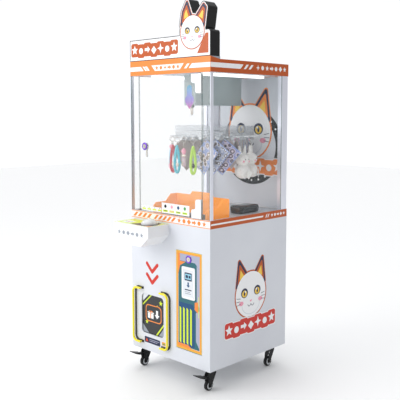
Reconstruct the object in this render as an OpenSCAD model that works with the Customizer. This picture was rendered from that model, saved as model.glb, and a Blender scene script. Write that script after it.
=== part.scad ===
// Floor-standing clip prize machine: a glass prize cabin on a sheet-steel cabinet with casters.
// Frame: +X to the right seen from the front, -Y to the front, +Z up.
// The origin is the middle of the bounding box, on the floor.

/* [Cabinet] */
// Width of the cabinet
cab_w = 543; // [530:1:660]
// Depth of the cabinet without the console
cab_d = 560; // [530:1:680]
// Height from the cabinet's underside to the deck frame
low_h = 663; // [640:1:800]
// Height of the deck frame
deck_h = 38; // [34:1:60]
// Height of the glazed prize cabin
cabin_h = 660; // [640:1:800]
// Height of the header frame
header_h = 58; // [50:1:90]
// Thickness of the sheet steel
sheet = 1.5; // [1:0.1:2]
// Thickness of the frame rings and the play deck
frame_t = 2; // [1.5:0.1:3]
// Width of the lips of the frame rings
lip_w = 14; // [12:1:20]
// Thickness of the glass
glass_t = 5; // [4:0.5:6]
// How far the glass lies inside the cabinet's outer faces
glass_inset = 2; // [2:0.5:4]
// Width of a rear corner post, along the side
post_d = 46; // [30:1:60]
// Width of a rear corner post, along the back
post_w = 25; // [15:1:35]
// Width of the strip on each front corner
strip_w = 20; // [12:1:30]

/* [Console] */
// How far the console stands out
console_out = 133; // [110:1:160]
// Width of the console
console_w = 254; // [220:1:280]
// Distance from the cabinet's left side to the console
console_left = 20; // [10:1:30]
// Height of the console's upright sides
console_side_h = 50; // [40:1:70]
// Height of the console from its lowest edge
console_h = 97; // [85:1:120]
// How far the console's top lies below the deck frame
console_drop = 8; // [4:1:20]
// Width of each slanted corner of the console
console_slant = 52; // [30:1:70]
// Radius of the push button's dome
button_r = 36; // [30:1:40]
// Height of the push button's dome
button_h = 20; // [14:1:30]
// Travel of the push button
button_travel = 4; // [2:0.5:5]
// Distance from the console's right side to the button
button_side = 69; // [50:1:100]

/* [Prize outlet] */
// Width of the outlet window
outlet_w = 162; // [130:1:180]
// Height of the outlet window
outlet_h = 200; // [160:1:220]
// Distance from the cabinet's left side to the window
outlet_left = 70; // [62:1:80]
// Height of the window above the cabinet's underside
outlet_up = 87; // [80:1:100]
// Corner radius of the window
outlet_r = 20; // [8:1:30]
// How far the flap overlaps the window
flap_lap = 8; // [5:1:10]
// Thickness of the flap
flap_t = 3; // [2:0.5:4]
// Radius of the guard tube
guard_r = 5.5; // [4:0.5:7]
// Outer width over both guards
guard_w = 260; // [240:1:280]
// Height of the guards
guard_h = 285; // [250:1:300]
// Height of the guards' lower end above the cabinet's underside
guard_up = 35; // [20:1:45]

/* [Service door] */
// Width of the service door's opening
service_w = 171; // [150:1:190]
// Height of the service door's opening
service_h = 475; // [400:1:490]
// Distance from the cabinet's right side to the opening
service_right = 51; // [40:1:60]
// Height of the opening above the cabinet's underside
service_up = 68; // [60:1:80]
// Width of the payment plate
pay_w = 87; // [70:1:100]
// Height of the payment plate
pay_h = 152; // [120:1:170]

/* [Glass door] */
// Gap between the cabinet's right side and the door
door_right = 56; // [50:1:70]
// Gap between the cabinet's left side and the door
door_left = 63; // [50:1:80]
// Gap between the door and the fixed glass
door_gap = 4; // [3:0.5:6]
// Distance of the pivot from the door's edge
pivot_in = 14; // [12:1:20]
// Radius of the pivot pins
pivot_r = 3.5; // [2.5:0.5:3.5]

/* [Prize fence] */
// Width of the orange fence
fence_w = 356; // [320:1:370]
// Distance from the cabinet's right side to the fence
fence_right = 40; // [35:1:60]
// Depth of the fence behind the front
fence_d = 172; // [150:1:190]
// Thickness of the fence
fence_t = 3; // [2:0.5:5]

/* [Mechanism] */
// Width of the mechanism housing
mech_w = 76; // [72:1:92]
// Length of the mechanism housing
mech_l = 333; // [320:1:360]
// Distance of the housing behind the front
mech_back = 143; // [140:1:160]
// How far the housing hangs below the ceiling
mech_h = 145; // [135:1:170]
// Distance of the carousel's axis behind the front
wheel_back = 315; // [312:1:330]
// Outer radius of the prize rack
rack_r = 198; // [185:1:200]
// Height of the prize rack's band
rack_h = 68; // [50:1:80]
// Radius of the carousel's column
column_r = 30; // [20:1:32]
// Number of pegs round the rack
peg_n = 24; // [24:1:24]
// Radius of a peg
peg_r = 2; // [1.5:0.5:3]

/* [Sign] */
// Depth of the sign
sign_d = 60; // [40:1:80]
// Height of the sign's straight part
sign_h = 101; // [80:1:120]
// Height of the ledge under the sign
ledge_h = 11; // [8:1:20]
// Radius of the round head on the sign
head_r = 84; // [70:1:88]

/* [Casters] */
// Height of a caster
caster_h = 105; // [100:1:120]
// Radius of a wheel
wheel_r = 25; // [22:1:27]
// Width of a wheel
wheel_w = 20; // [16:1:24]
// How far a wheel trails its swivel
trail = 24; // [18:1:28]
// Distance from the cabinet's side to a swivel
caster_side = 45; // [40:1:70]
// Distance from the cabinet's front or back to a swivel
caster_end = 62; // [58:1:80]

/* [Fits] */
// Radial clearance of a shaft in its hole
run_gap = 0.06; // [0.03:0.01:0.1]
// Gap between pieces that are fastened together in one group
seat_gap = 0.1; // [0.05:0.05:0.3]
// Gap between a moving piece and its neighbour
free_gap = 1; // [0.5:0.1:2]
// Gap under a hung or laid soft piece
soft_gap = 0.3; // [0.2:0.1:0.5]

/* [Hidden] */
$fn = 64;
lock_head_t = 3;
rear_out = lock_head_t + 0.3;
half_w = cab_w / 2;
front_y = console_out - (console_out + cab_d + rear_out) / 2;
back_y = front_y + cab_d;
base_z = caster_h;
deck_z = base_z + low_h;
cabin_z = deck_z + deck_h;
header_z = cabin_z + cabin_h;
roof_z = header_z + header_h;
sign_z = roof_z + ledge_h;
floor_z = cabin_z - 9;
ceiling_z = header_z + frame_t;
in_w = half_w - sheet;
flange_w = 16;
lock_r = 9;
lock_head_r = 11;
rosette_r = 18.5;
stem_r = 24.5;
bezel_rim = 4;
bezel_h = 7;
service_rim = 10;
plate_x = 58;
plate_y = 46;
bolt_x = 44;
bolt_y = 32;
bolt_r = 3;
kingpin_r = 4;
axle_r = 4;
pedal_pin_r = 2.5;
hinge_in = 3.5;
service_pin_r = 1.6;
flap_pin_r = 2;
flap_axis_up = 14;
rear_pin_r = 3;
sill_h = 85;
rear_side = 20;
rear_low = 88;
rear_high = 22;
disc_t = 5;
rack_z = header_z - 310;
rack_wall = 3;
peg_z = rack_z + 17;
peg_in = 168;
peg_out = 224;
axis_y = front_y + wheel_back;
mech_z = ceiling_z - mech_h;
clip_y = front_y + mech_back + 13;
jaw_gap = 5;
jaw_z = mech_z - 3;
console_z = deck_z - console_drop;
button_x = -half_w + console_left + console_w - button_side;
button_y = front_y - 63;
outlet_x = -half_w + outlet_left + outlet_w / 2;
outlet_z = base_z + outlet_up;
flap_axis_y = front_y + sheet + 6;
flap_axis_z = outlet_z + outlet_h + flap_axis_up;
service_x = half_w - service_right - service_w / 2;
service_z = base_z + service_up;
service_lock_z = service_z + service_h - 37;
service_axis_z = service_z + 1.8 + hinge_in;
door_x0 = -half_w + door_left;
door_x1 = half_w - door_right;
door_z0 = cabin_z + 3;
door_z1 = header_z - 5;
door_y = front_y + glass_inset + glass_t / 2;
pivot_x = door_x1 - pivot_in;
door_lock_x = door_x0 + 40;
door_lock_z = cabin_z + 319;
rear_pin_x = half_w - rear_side - 4;
rear_pin_y = back_y - 5;
rear_lock_x = -half_w + rear_side + 40;
rear_lock_z = base_z + low_h - 110;
inlet_x = half_w - 110;
inlet_z = base_z + 45;
hole_x0 = half_w - fence_right - fence_w + fence_t;
hole_x1 = half_w - fence_right - fence_t;
hole_y0 = front_y + 14;
hole_y1 = front_y + fence_d - fence_t;
bin_x0 = outlet_x - outlet_w / 2 - 13;
bin_x1 = outlet_x + outlet_w / 2 + 13;
bin_d = 226;
bin_z = base_z + 74;
head_x = half_w - 112;
key_angles = [-45, -30, -15, 0, 15];
card_angles = concat([30, 45, 60], [for (a = [150 : 15 : 285]) a]);
plush_angles = [90, 120];

// ---- shared shapes ----

// A box between two corners
module block(lo, hi) {
    translate(lo)
        cube(hi - lo);
}

// A flat outline in X and Z, made a plate from y to y + t
module upright(y, t) {
    translate([0, y + t, 0])
        rotate([90, 0, 0])
            linear_extrude(t)
                children();
}

// A flat outline in Y and Z, made a plate from x to x + t
module sideways(x, t) {
    translate([x, 0, 0])
        rotate([90, 0, 90])
            linear_extrude(t)
                children();
}

// A rectangle with round corners, centred
module round_rect(w, h, r) {
    square([w - 2 * r, h], center = true);
    square([w, h - 2 * r], center = true);
    for (x = [-1, 1])
        for (y = [-1, 1])
            translate([x * (w / 2 - r), y * (h / 2 - r)])
                circle(r);
}

// A level ring along the cabinet's outline
module ring(z, h, w) {
    difference() {
        block([-half_w, front_y, z], [half_w, back_y, z + h]);
        block([-half_w + w, front_y + w, z - 1], [half_w - w, back_y - w, z + h + 1]);
    }
}

// A rod along Y
module rod_y(x, y, z, r, l) {
    translate([x, y, z])
        rotate([-90, 0, 0])
            cylinder(h = l, r = r);
}

// A rod along X
module rod_x(x, y, z, r, l) {
    translate([x, y, z])
        rotate([0, 90, 0])
            cylinder(h = l, r = r);
}

// A rod along Z
module rod_z(x, y, z, r, l) {
    translate([x, y, z])
        cylinder(h = l, r = r);
}

// Place something round the carousel, 0 degrees at the front and positive to the right
module round_rack(angle, r) {
    translate([0, axis_y, 0])
        rotate([0, 0, angle])
            translate([0, -r, 0])
                children();
}

// ---- lower cabinet ----

module caster_holes(z, h) {
    for (c = [0 : 3])
        at_caster(c)
            for (x = [-1, 1])
                for (y = [-1, 1])
                    rod_z(x * bolt_x / 2, y * bolt_y / 2, z, bolt_r + 0.3, h);
}

module base_pan() {
    wall = 20;
    color("lightgray")
        difference() {
            union() {
                block([-in_w, front_y + sheet, base_z], [in_w, back_y, base_z + 2]);
                block([-in_w, front_y + sheet, base_z], [in_w, front_y + 2 * sheet, base_z + wall]);
                block([-in_w, front_y + sheet, base_z], [-in_w + sheet, back_y, base_z + wall]);
                block([in_w - sheet, front_y + sheet, base_z], [in_w, back_y, base_z + wall]);
                block([-in_w, back_y - sheet, base_z], [in_w, back_y, base_z + sill_h]);
            }
            caster_holes(base_z - 1, 4);
            upright(back_y - sheet - 1, sheet + 2)
                translate([inlet_x, inlet_z])
                    square([48.5, 60.5], center = true);
        }
}

module side_panel(s) {
    color("white")
        union() {
            block([min(s * in_w, s * half_w), front_y, base_z], [max(s * in_w, s * half_w), back_y, deck_z]);
            block([min(s * (half_w - flange_w), s * half_w), back_y - sheet, base_z + sill_h],
                [max(s * (half_w - flange_w), s * half_w), back_y, deck_z]);
        }
}

module side_panel_left() {
    side_panel(-1);
}

module side_panel_right() {
    ears = [base_z + sill_h + seat_gap, base_z + low_h - rear_high + 0.4];
    color("white")
        difference() {
            union() {
                side_panel(1);
                for (z = ears)
                    block([rear_pin_x - 8, back_y - 14, z], [in_w + 0.5, back_y, z + 2.5]);
            }
            for (z = ears)
                rod_z(rear_pin_x, rear_pin_y, z - 1, rear_pin_r + run_gap, 5);
        }
}

module front_panel() {
    ear_x = service_w / 2 + 3;
    color("white")
        difference() {
            union() {
                block([-in_w, front_y, base_z], [in_w, front_y + sheet, deck_z]);
                for (s = [-1, 1])
                    block([min(s * in_w, s * (in_w - sheet)), front_y, base_z + 21],
                        [max(s * in_w, s * (in_w - sheet)), front_y + 12, deck_z]);
                for (s = [-1, 1])
                    block([service_x + s * ear_x - 1, front_y, service_z - 4],
                        [service_x + s * ear_x + 1, front_y + 12, service_axis_z + 6]);
            }
            upright(front_y - 1, sheet + 2)
                translate([outlet_x, outlet_z + outlet_h / 2])
                    round_rect(outlet_w, outlet_h, outlet_r);
            upright(front_y - 1, sheet + 2)
                translate([service_x - service_w / 2, service_z])
                    square([service_w, service_h]);
            upright(front_y - 1, sheet + 2)
                translate([-half_w + console_left + console_w / 2, console_z - 45])
                    round_rect(150, 40, 6);
            rod_x(service_x - ear_x - 2, front_y + hinge_in, service_axis_z,
                service_pin_r + run_gap, 2 * ear_x + 4);
        }
}

module deck_frame() {
    color("orange")
        difference() {
            union() {
                ring(deck_z, deck_h, frame_t);
                ring(cabin_z - frame_t, frame_t, lip_w);
                ring(floor_z - 2 * frame_t, frame_t, lip_w - 4);
            }
            rod_z(pivot_x, door_y, cabin_z - frame_t, pivot_r + run_gap, 10);
        }
}

module play_deck() {
    e = half_w - frame_t - 0.5;
    color("white")
        difference() {
            block([-e, front_y + frame_t + 0.5, floor_z - frame_t], [e, back_y - frame_t - 0.5, floor_z]);
            block([hole_x0, hole_y0, floor_z - 5], [hole_x1, hole_y1, floor_z + 1]);
        }
}

// The prizes' way from the deck to the outlet, as a flat outline that is grow larger on each side
module chute_way(grow) {
    top = floor_z - frame_t;
    lead_in = 18;
    drop = hole_x1 - bin_x1;
    k = grow * 0.42;
    polygon([
        [hole_x0 - grow, top],
        [hole_x0 - grow, top - 130 + k],
        [bin_x0 - grow, top - 130 - (hole_x0 - bin_x0) + k],
        [bin_x0 - grow, flap_axis_z],
        [bin_x1 + grow, flap_axis_z],
        [bin_x1 + grow, top - lead_in - drop - k],
        [hole_x1 + grow, top - lead_in - k],
        [hole_x1 + grow, top]
    ]);
}

// The prize bin behind the outlet, from the side, inset by grow
module chute_bin(grow) {
    y0 = hole_y0 - sheet;
    y1 = y0 + bin_d - grow;
    polygon([
        [y0 - grow, bin_z + grow],
        [y0 + 20, bin_z + grow],
        [y1, bin_z + 24 + grow],
        [y1, flap_axis_z + 12 - grow],
        [y0 - grow, flap_axis_z + 12 - grow]
    ]);
}

module chute() {
    color("silver")
        difference() {
            union() {
                upright(hole_y0 - sheet, hole_y1 - hole_y0 + 2 * sheet)
                    chute_way(sheet);
                sideways(bin_x0 - sheet, bin_x1 - bin_x0 + 2 * sheet)
                    chute_bin(0);
            }
            for (up = [0, 1])
                upright(hole_y0, hole_y1 - hole_y0)
                    translate([0, up])
                        chute_way(0);
            sideways(bin_x0, bin_x1 - bin_x0)
                chute_bin(sheet);
        }
}

module outlet_frame() {
    w = outlet_w + 2 * flap_lap;
    y = front_y + sheet;
    ear_x = w / 2 + 2;
    color("whitesmoke")
        difference() {
            union() {
                upright(y, 3.5)
                    translate([outlet_x, outlet_z + outlet_h / 2])
                        square([w, outlet_h + 2 * flap_lap], center = true);
                for (s = [-1, 1])
                    block([outlet_x + s * ear_x - 1.5, y, outlet_z + outlet_h - 20],
                        [outlet_x + s * ear_x + 1.5, y + 11, flap_axis_z + 6]);
                for (s = [-1, 1])
                    block([outlet_x + s * (w / 2 - 1) - 4, y, outlet_z + outlet_h - 20],
                        [outlet_x + s * (w / 2 - 1) + 4, y + 3.5, outlet_z + outlet_h]);
            }
            upright(y - 1, 6)
                translate([outlet_x, outlet_z + outlet_h / 2])
                    round_rect(outlet_w, outlet_h, outlet_r);
            rod_x(outlet_x - ear_x - 4, flap_axis_y, flap_axis_z, flap_pin_r + run_gap, 2 * ear_x + 8);
        }
}

module outlet_flap() {
    w = outlet_w + 2 * flap_lap - 2;
    knuckle_r = 4;
    y = flap_axis_y - 0.5;
    color("gray")
        difference() {
            union() {
                upright(y, flap_t)
                    translate([outlet_x - w / 2, outlet_z - flap_lap])
                        square([w, flap_axis_z - outlet_z + flap_lap]);
                rod_x(outlet_x - w / 2, flap_axis_y, flap_axis_z, knuckle_r, w);
            }
            rod_x(outlet_x - w / 2 - 1, flap_axis_y, flap_axis_z, flap_pin_r + run_gap, w + 2);
        }
}

// The line of one guard in X and Z, as quarter bends and straights swept by a round or flat section
module guard_path(s, reach, bend) {
    x_out = outlet_x + s * (guard_w / 2 - guard_r);
    z0 = base_z + guard_up + guard_r;
    z1 = base_z + guard_up + guard_h - guard_r;
    for (z = [z0, z1])
        translate([x_out - s * bend, 0, z + (z == z0 ? bend : -bend)])
            rotate([90, 0, 0])
                rotate([0, 0, z == z0 ? (s > 0 ? -90 : 180) : (s > 0 ? 0 : 90)])
                    rotate_extrude(angle = 90)
                        translate([bend, 0])
                            children(0);
    translate([x_out, 0, z0 + bend])
        linear_extrude(z1 - z0 - 2 * bend)
            children(0);
    for (z = [z0, z1])
        translate([x_out - s * bend, 0, z])
            rotate([0, -s * 90, 0])
                linear_extrude(reach)
                    children(0);
}

module guard_rails() {
    stand = 18;
    color("yellow")
        for (s = [-1, 1])
            union() {
                translate([0, front_y - stand, 0])
                    guard_path(s, 30, 24)
                        circle(guard_r);
                for (z = [base_z + guard_up + guard_r, base_z + guard_up + guard_h - guard_r])
                    rod_y(outlet_x + s * (guard_w / 2 - guard_r - 44), front_y - stand, z, 3, stand - 2.2);
            }
}

module guard_backing() {
    color([0.1, 0.1, 0.12])
        for (s = [-1, 1])
            difference() {
                translate([0, front_y - 1 - seat_gap, 0])
                    guard_path(s, 36, 24)
                        square([2 * guard_r + 1, 2], center = true);
                for (z = [base_z + guard_up + guard_r, base_z + guard_up + guard_h - guard_r])
                    rod_y(outlet_x + s * (guard_w / 2 - guard_r - 44), front_y - 2.3, z, 1, 3);
            }
}

// ---- console ----

// The console's front outline, grow larger on each side
module console_outline(grow) {
    x0 = -half_w + console_left - grow;
    x1 = -half_w + console_left + console_w + grow;
    z1 = console_z - console_side_h;
    z0 = console_z - console_h - grow;
    polygon([
        [x0, console_z],
        [x0, z1],
        [x0 + console_slant, z0],
        [x1 - console_slant, z0],
        [x1, z1],
        [x1, console_z]
    ]);
}

module console_shell() {
    color("white")
        difference() {
            upright(front_y - console_out, console_out - seat_gap)
                console_outline(0);
            upright(front_y - console_out + 2, console_out)
                translate([0, 1])
                    console_outline(-2);
            upright(front_y - console_out + 2, console_out)
                console_outline(-2);
        }
}

module console_top() {
    x0 = -half_w + console_left;
    color("greenyellow")
        difference() {
            union() {
                block([x0, front_y - console_out, console_z + seat_gap],
                    [x0 + console_w, front_y - seat_gap, console_z + 2]);
                for (s = [0, 1])
                    block([x0 + 3 + s * (console_w - 16), front_y - console_out + 4, console_z - 8],
                        [x0 + 13 + s * (console_w - 16), front_y - console_out + 24, console_z + 1]);
            }
            rod_z(button_x, button_y, console_z - 1, 29, 5);
        }
}

module button_bezel() {
    z = console_z + 2 + seat_gap;
    color("whitesmoke")
        difference() {
            union() {
                rod_z(button_x, button_y, z, button_r + bezel_rim, bezel_h);
                rod_z(button_x, button_y, z - 30, 28.5, 31);
                translate([button_x, button_y, console_z - 6])
                    cylinder(h = 5, r = 34, $fn = 6);
            }
            rod_z(button_x, button_y, z + 2, button_r + 0.5, bezel_h);
            rod_z(button_x, button_y, z - 27, stem_r + run_gap, 40);
        }
}

module button_dome() {
    z = console_z + 4 + seat_gap + button_travel + soft_gap;
    rim = 4;
    cap = button_h - rim;
    top_r = (button_r * button_r + cap * cap) / (2 * cap);
    color("aliceblue")
        union() {
            intersection() {
                rod_z(button_x, button_y, z, button_r, button_h);
                translate([button_x, button_y, z + button_h - top_r])
                    sphere(top_r);
            }
            rod_z(button_x, button_y, z - 20, stem_r, 21);
        }
}

// ---- header, sign and cabin ----

module header_frame() {
    color("darkorange")
        difference() {
            union() {
                ring(header_z, header_h, frame_t);
                ring(header_z, frame_t, lip_w);
                block([-half_w, front_y, roof_z - frame_t], [half_w, back_y, roof_z]);
                block([-half_w, front_y, roof_z - 0.5], [half_w, front_y + sign_d + 3, sign_z]);
            }
            rod_z(pivot_x, door_y, header_z - 1, pivot_r + run_gap, frame_t + 1);
            block([-half_w + 2, front_y + 2, roof_z], [half_w - 2, front_y + sign_d + 4, sign_z - 2]);
        }
}

module ceiling_panel() {
    e = half_w - frame_t - 1;
    color("gainsboro")
        block([-e, front_y + frame_t + 1, ceiling_z + seat_gap], [e, back_y - frame_t - 1, ceiling_z + 2]);
}

// One ear of the sign, through round corners given as [across, up, radius] from the head's middle
module sign_ear(corners) {
    hull()
        for (c = corners)
            translate([head_x + c[0], sign_z + c[1]])
                circle(c[2], $fn = 32);
}

module sign_outline() {
    z = sign_z + seat_gap;
    corner_r = 14;
    translate([-half_w, z])
        square([cab_w - corner_r, sign_h]);
    translate([head_x, z])
        square([half_w - corner_r - head_x, sign_h + 15]);
    translate([half_w - corner_r, z])
        square([corner_r, sign_h + 15 - corner_r]);
    translate([half_w - corner_r, z + sign_h + 15 - corner_r])
        circle(corner_r);
    translate([head_x, sign_z + 110])
        circle(head_r);
    sign_ear([[-70, 145, 15], [-60, 202, 14], [-33, 242, 16], [4, 165, 12]]);
    sign_ear([[12, 165, 12], [70, 222, 16], [82, 208, 16], [72, 132, 14]]);
}

module sign_housing() {
    color([0.06, 0.06, 0.07])
        difference() {
            upright(front_y, sign_d)
                sign_outline();
            upright(front_y - 1, sign_d - 1)
                offset(delta = -3)
                    sign_outline();
        }
}

module sign_face() {
    color("white")
        upright(front_y, 4)
            offset(delta = -3.2)
                sign_outline();
}

module corner_posts() {
    x = half_w - glass_inset;
    z0 = cabin_z + seat_gap;
    z1 = header_z - seat_gap;
    color("lightsteelblue")
        for (s = [-1, 1]) {
            difference() {
                block([min(s * x, s * (x - post_w)), back_y - post_d, z0],
                    [max(s * x, s * (x - post_w)), back_y - 2, z1]);
                block([min(s * (x - frame_t), s * (x - post_w + frame_t)), back_y - post_d + frame_t, z0 - 1],
                    [max(s * (x - frame_t), s * (x - post_w + frame_t)), back_y - 2 - frame_t, z1 + 1]);
            }
            block([min(s * half_w, s * (x + seat_gap)), front_y, z0],
                [max(s * half_w, s * (x + seat_gap)), front_y + strip_w, z1]);
        }
}

module fixed_panes() {
    x = half_w - glass_inset;
    z0 = cabin_z + seat_gap;
    z1 = header_z - seat_gap;
    color([0.8, 0.9, 0.92, 0.35])
        union() {
            for (s = [-1, 1])
                block([min(s * x, s * (x - glass_t)), front_y + glass_inset, z0],
                    [max(s * x, s * (x - glass_t)), back_y - post_d - seat_gap, z1]);
            block([-x + glass_t + seat_gap, front_y + glass_inset, z0],
                [door_x0 - door_gap, front_y + glass_inset + glass_t, z1]);
            block([door_x1 + door_gap, front_y + glass_inset, z0],
                [x - glass_t - seat_gap, front_y + glass_inset + glass_t, z1]);
        }
}

module back_panel() {
    e = half_w - glass_inset - post_w - seat_gap;
    color("gainsboro")
        block([-e, back_y - 7, cabin_z + seat_gap], [e, back_y - 4, header_z - seat_gap]);
}

module fence() {
    x0 = half_w - fence_right - fence_w;
    x1 = half_w - fence_right;
    y0 = hole_y0;
    y1 = front_y + fence_d;
    z0 = floor_z + seat_gap;
    tab_w = 127;
    color([1, 0.5, 0.1, 0.7])
        union() {
            for (x = [x0, x1 - fence_t])
                sideways(x, fence_t)
                    polygon([
                        [y0, z0],
                        [y0, z0 + 42],
                        [y0 + 16, z0 + 56],
                        [front_y + 95, z0 + 56],
                        [front_y + 129, z0 + 90],
                        [y1, z0 + 90],
                        [y1, z0]
                    ]);
            upright(y1 - fence_t, fence_t)
                translate([x0, z0])
                    polygon([
                        [0, 0],
                        [0, 90],
                        [(fence_w - tab_w) / 2 - 16, 90],
                        [(fence_w - tab_w) / 2, 108],
                        [(fence_w + tab_w) / 2, 108],
                        [(fence_w + tab_w) / 2 + 16, 90],
                        [fence_w, 90],
                        [fence_w, 0]
                    ]);
        }
}

// ---- glass door ----

module glass_door() {
    color([0.8, 0.9, 0.92, 0.35])
        difference() {
            block([door_x0, front_y + glass_inset, door_z0],
                [door_x1, front_y + glass_inset + glass_t, door_z1]);
            for (z = [door_z0, door_z1])
                rod_z(pivot_x, door_y, z - 26, pivot_r + 4, 52);
            rod_y(door_lock_x, front_y, door_lock_z, lock_r + 1, 12);
        }
}

// A stepped pivot fitting, with its wide end at z and its length towards up
module pivot_fitting(z, up) {
    y0 = front_y + glass_inset - 4;
    y1 = front_y + glass_inset + glass_t + 4;
    difference() {
        union() {
            for (y = [y0, front_y + glass_inset + glass_t + seat_gap])
                upright(y, 4 - seat_gap)
                    translate([door_x1, z])
                        mirror([0, up > 0 ? 0 : 1])
                            polygon([
                                [0, 0],
                                [-62, 0],
                                [-62, 34],
                                [-56, 40],
                                [-42, 40],
                                [-36, 46],
                                [-36, 80],
                                [-29, 87],
                                [0, 87]
                            ]);
            rod_z(pivot_x, door_y, up > 0 ? z : z - 24, pivot_r + 3, 24);
        }
        rod_z(pivot_x, door_y, up > 0 ? z - 1 : z - 21, pivot_r + run_gap, 22);
    }
}

module door_fittings() {
    color("white")
        union() {
            pivot_fitting(door_z0, 1);
            pivot_fitting(door_z1, -1);
            difference() {
                rod_y(door_lock_x, front_y + glass_inset - 1.6, door_lock_z, rosette_r, 1.5);
                rod_y(door_lock_x, front_y - 5, door_lock_z, lock_r + run_gap, 20);
            }
            difference() {
                rod_y(door_lock_x, front_y + glass_inset + glass_t + seat_gap, door_lock_z, rosette_r, 3);
                rod_y(door_lock_x, front_y - 5, door_lock_z, lock_r + run_gap, 20);
            }
        }
}

// A cam lock along Y: its head at head_y, facing out, and a cam at cam_y that points turn degrees from down
module cam_lock(x, z, head_y, cam_y, cam_l, out, turn) {
    face_y = head_y + out * lock_head_t;
    difference() {
        union() {
            rod_y(x, min(head_y, face_y), z, lock_head_r, lock_head_t);
            rod_y(x, min(head_y, cam_y), z, lock_r, abs(cam_y - head_y));
            translate([x, min(cam_y, cam_y - out * 2), z])
                rotate([0, turn, 0])
                    translate([-6, 0, -cam_l])
                        cube([12, 2, cam_l + 6]);
        }
        block([x - 1, min(face_y, face_y - out * 2) - 0.5, z - 4],
            [x + 1, max(face_y, face_y - out * 2) + 0.5, z + 4]);
    }
}

module door_lock() {
    color("silver")
        cam_lock(door_lock_x, door_lock_z, front_y + glass_inset - 2, front_y + 13, 52, -1, 0);
}

// ---- service door ----

module service_door() {
    w = service_w - 2 * free_gap;
    x = service_x - w / 2;
    z0 = service_axis_z - hinge_in + 0.3;
    z1 = service_z + service_h - free_gap;
    color("teal")
        difference() {
            union() {
                block([x, front_y, z0], [x + w, front_y + sheet, z1]);
                for (s = [0, 1])
                    block([x + s * (w - sheet), front_y, service_axis_z + 10],
                        [x + sheet + s * (w - sheet), front_y + service_rim, z1]);
                block([x, front_y, z1 - sheet], [x + w, front_y + service_rim, z1]);
                rod_x(x, front_y + hinge_in, service_axis_z, hinge_in - 0.3, w);
            }
            rod_x(x - 1, front_y + hinge_in, service_axis_z, service_pin_r + run_gap, w + 2);
            rod_y(service_x, front_y - 1, service_lock_z, lock_r + run_gap, 5);
            upright(front_y - 1, sheet + 2)
                translate([service_x - 1, service_z + 326])
                    square([pay_w - 30, pay_h - 40], center = true);
            pay_holes(1.7);
        }
}

module pay_holes(r) {
    for (x = [-1, 1])
        for (z = [-1, 1])
            rod_y(service_x - 1 + x * (pay_w / 2 - 10), front_y - 6,
                service_z + 326 + z * (pay_h / 2 - 10), r, 12);
}

module payment_plate() {
    color("white")
        union() {
            difference() {
                upright(front_y - 3, 3 - seat_gap)
                    translate([service_x - 1, service_z + 326])
                        round_rect(pay_w, pay_h, 8);
                pay_holes(1.7);
            }
            for (x = [-1, 1])
                for (z = [-1, 1])
                    translate([service_x - 1 + x * (pay_w / 2 - 10), 0,
                        service_z + 326 + z * (pay_h / 2 - 10)]) {
                        rod_y(0, front_y - 4, 0, 1.6, 13);
                        rod_y(0, front_y - 4.7, 0, 3, 1.6);
                    }
        }
}

module service_lock() {
    color("silver")
        cam_lock(service_x, service_lock_z, front_y - 0.3, front_y + 16, 46, -1, 90);
}

// ---- rear ----

module rear_door() {
    x0 = -half_w + rear_side;
    x1 = half_w - rear_side;
    z0 = base_z + rear_low;
    z1 = base_z + low_h - rear_high;
    color("white")
        difference() {
            union() {
                block([x0, back_y - sheet, z0], [x1, back_y, z1]);
                for (x = [x0, x1 - sheet])
                    block([x, back_y - 18, z0], [x + sheet, back_y, z1]);
                for (z = [z0, z1 - sheet])
                    block([x0, back_y - 18, z], [x1, back_y, z + sheet]);
                for (z = [z0, z1 - 14])
                    rod_z(rear_pin_x, rear_pin_y, z, rear_pin_r + 1.8, 14);
            }
            for (z = [z0 - 1, z1 - 13])
                rod_z(rear_pin_x, rear_pin_y, z, rear_pin_r + run_gap, 14);
            rod_y(rear_lock_x, back_y - 5, rear_lock_z, lock_r + run_gap, 10);
            for (i = [0 : 7])
                for (s = [-1, 1])
                    upright(back_y - 5, 10)
                        translate([s * 90, z0 + 60 + 14 * i])
                            round_rect(110, 5, 2.4);
        }
}

module rear_lock() {
    color("silver")
        cam_lock(rear_lock_x, rear_lock_z, back_y + 0.3, back_y - 20, 50, 1, 0);
}

module power_inlet() {
    y = back_y + seat_gap;
    color([0.08, 0.08, 0.09])
        difference() {
            union() {
                upright(y, 3)
                    translate([inlet_x, inlet_z])
                        round_rect(54, 66, 4);
                upright(back_y - 28, 28.5)
                    translate([inlet_x, inlet_z])
                        square([48, 60], center = true);
            }
            upright(back_y - 14, 20)
                translate([inlet_x, inlet_z - 15])
                    round_rect(27, 19, 4);
            upright(back_y - 10, 20)
                translate([inlet_x, inlet_z + 16])
                    square([28, 21], center = true);
            rod_x(inlet_x - 15.5, back_y - 4, inlet_z + 16, 1.5 + run_gap, 31);
        }
    color("silver")
        for (x = [-7, 0, 7])
            block([inlet_x + x - 1, back_y - 13.9, inlet_z - 15 - (x == 0 ? -1 : 3)],
                [inlet_x + x + 1, back_y - 2, inlet_z - 11 - (x == 0 ? -1 : 3)]);
}

module power_rocker() {
    color("red")
        union() {
            rod_x(inlet_x - 15.2, back_y - 4, inlet_z + 16, 1.5, 30.4);
            translate([inlet_x - 12.5, back_y - 4, inlet_z + 16])
                rotate([12, 0, 0])
                    sideways(0, 25)
                        polygon([
                            [-3, -8.5],
                            [5.5, -8.8],
                            [3.2, 0],
                            [5.5, 8.8],
                            [-3, 8.5]
                        ]);
        }
}

// ---- electrics ----

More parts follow.
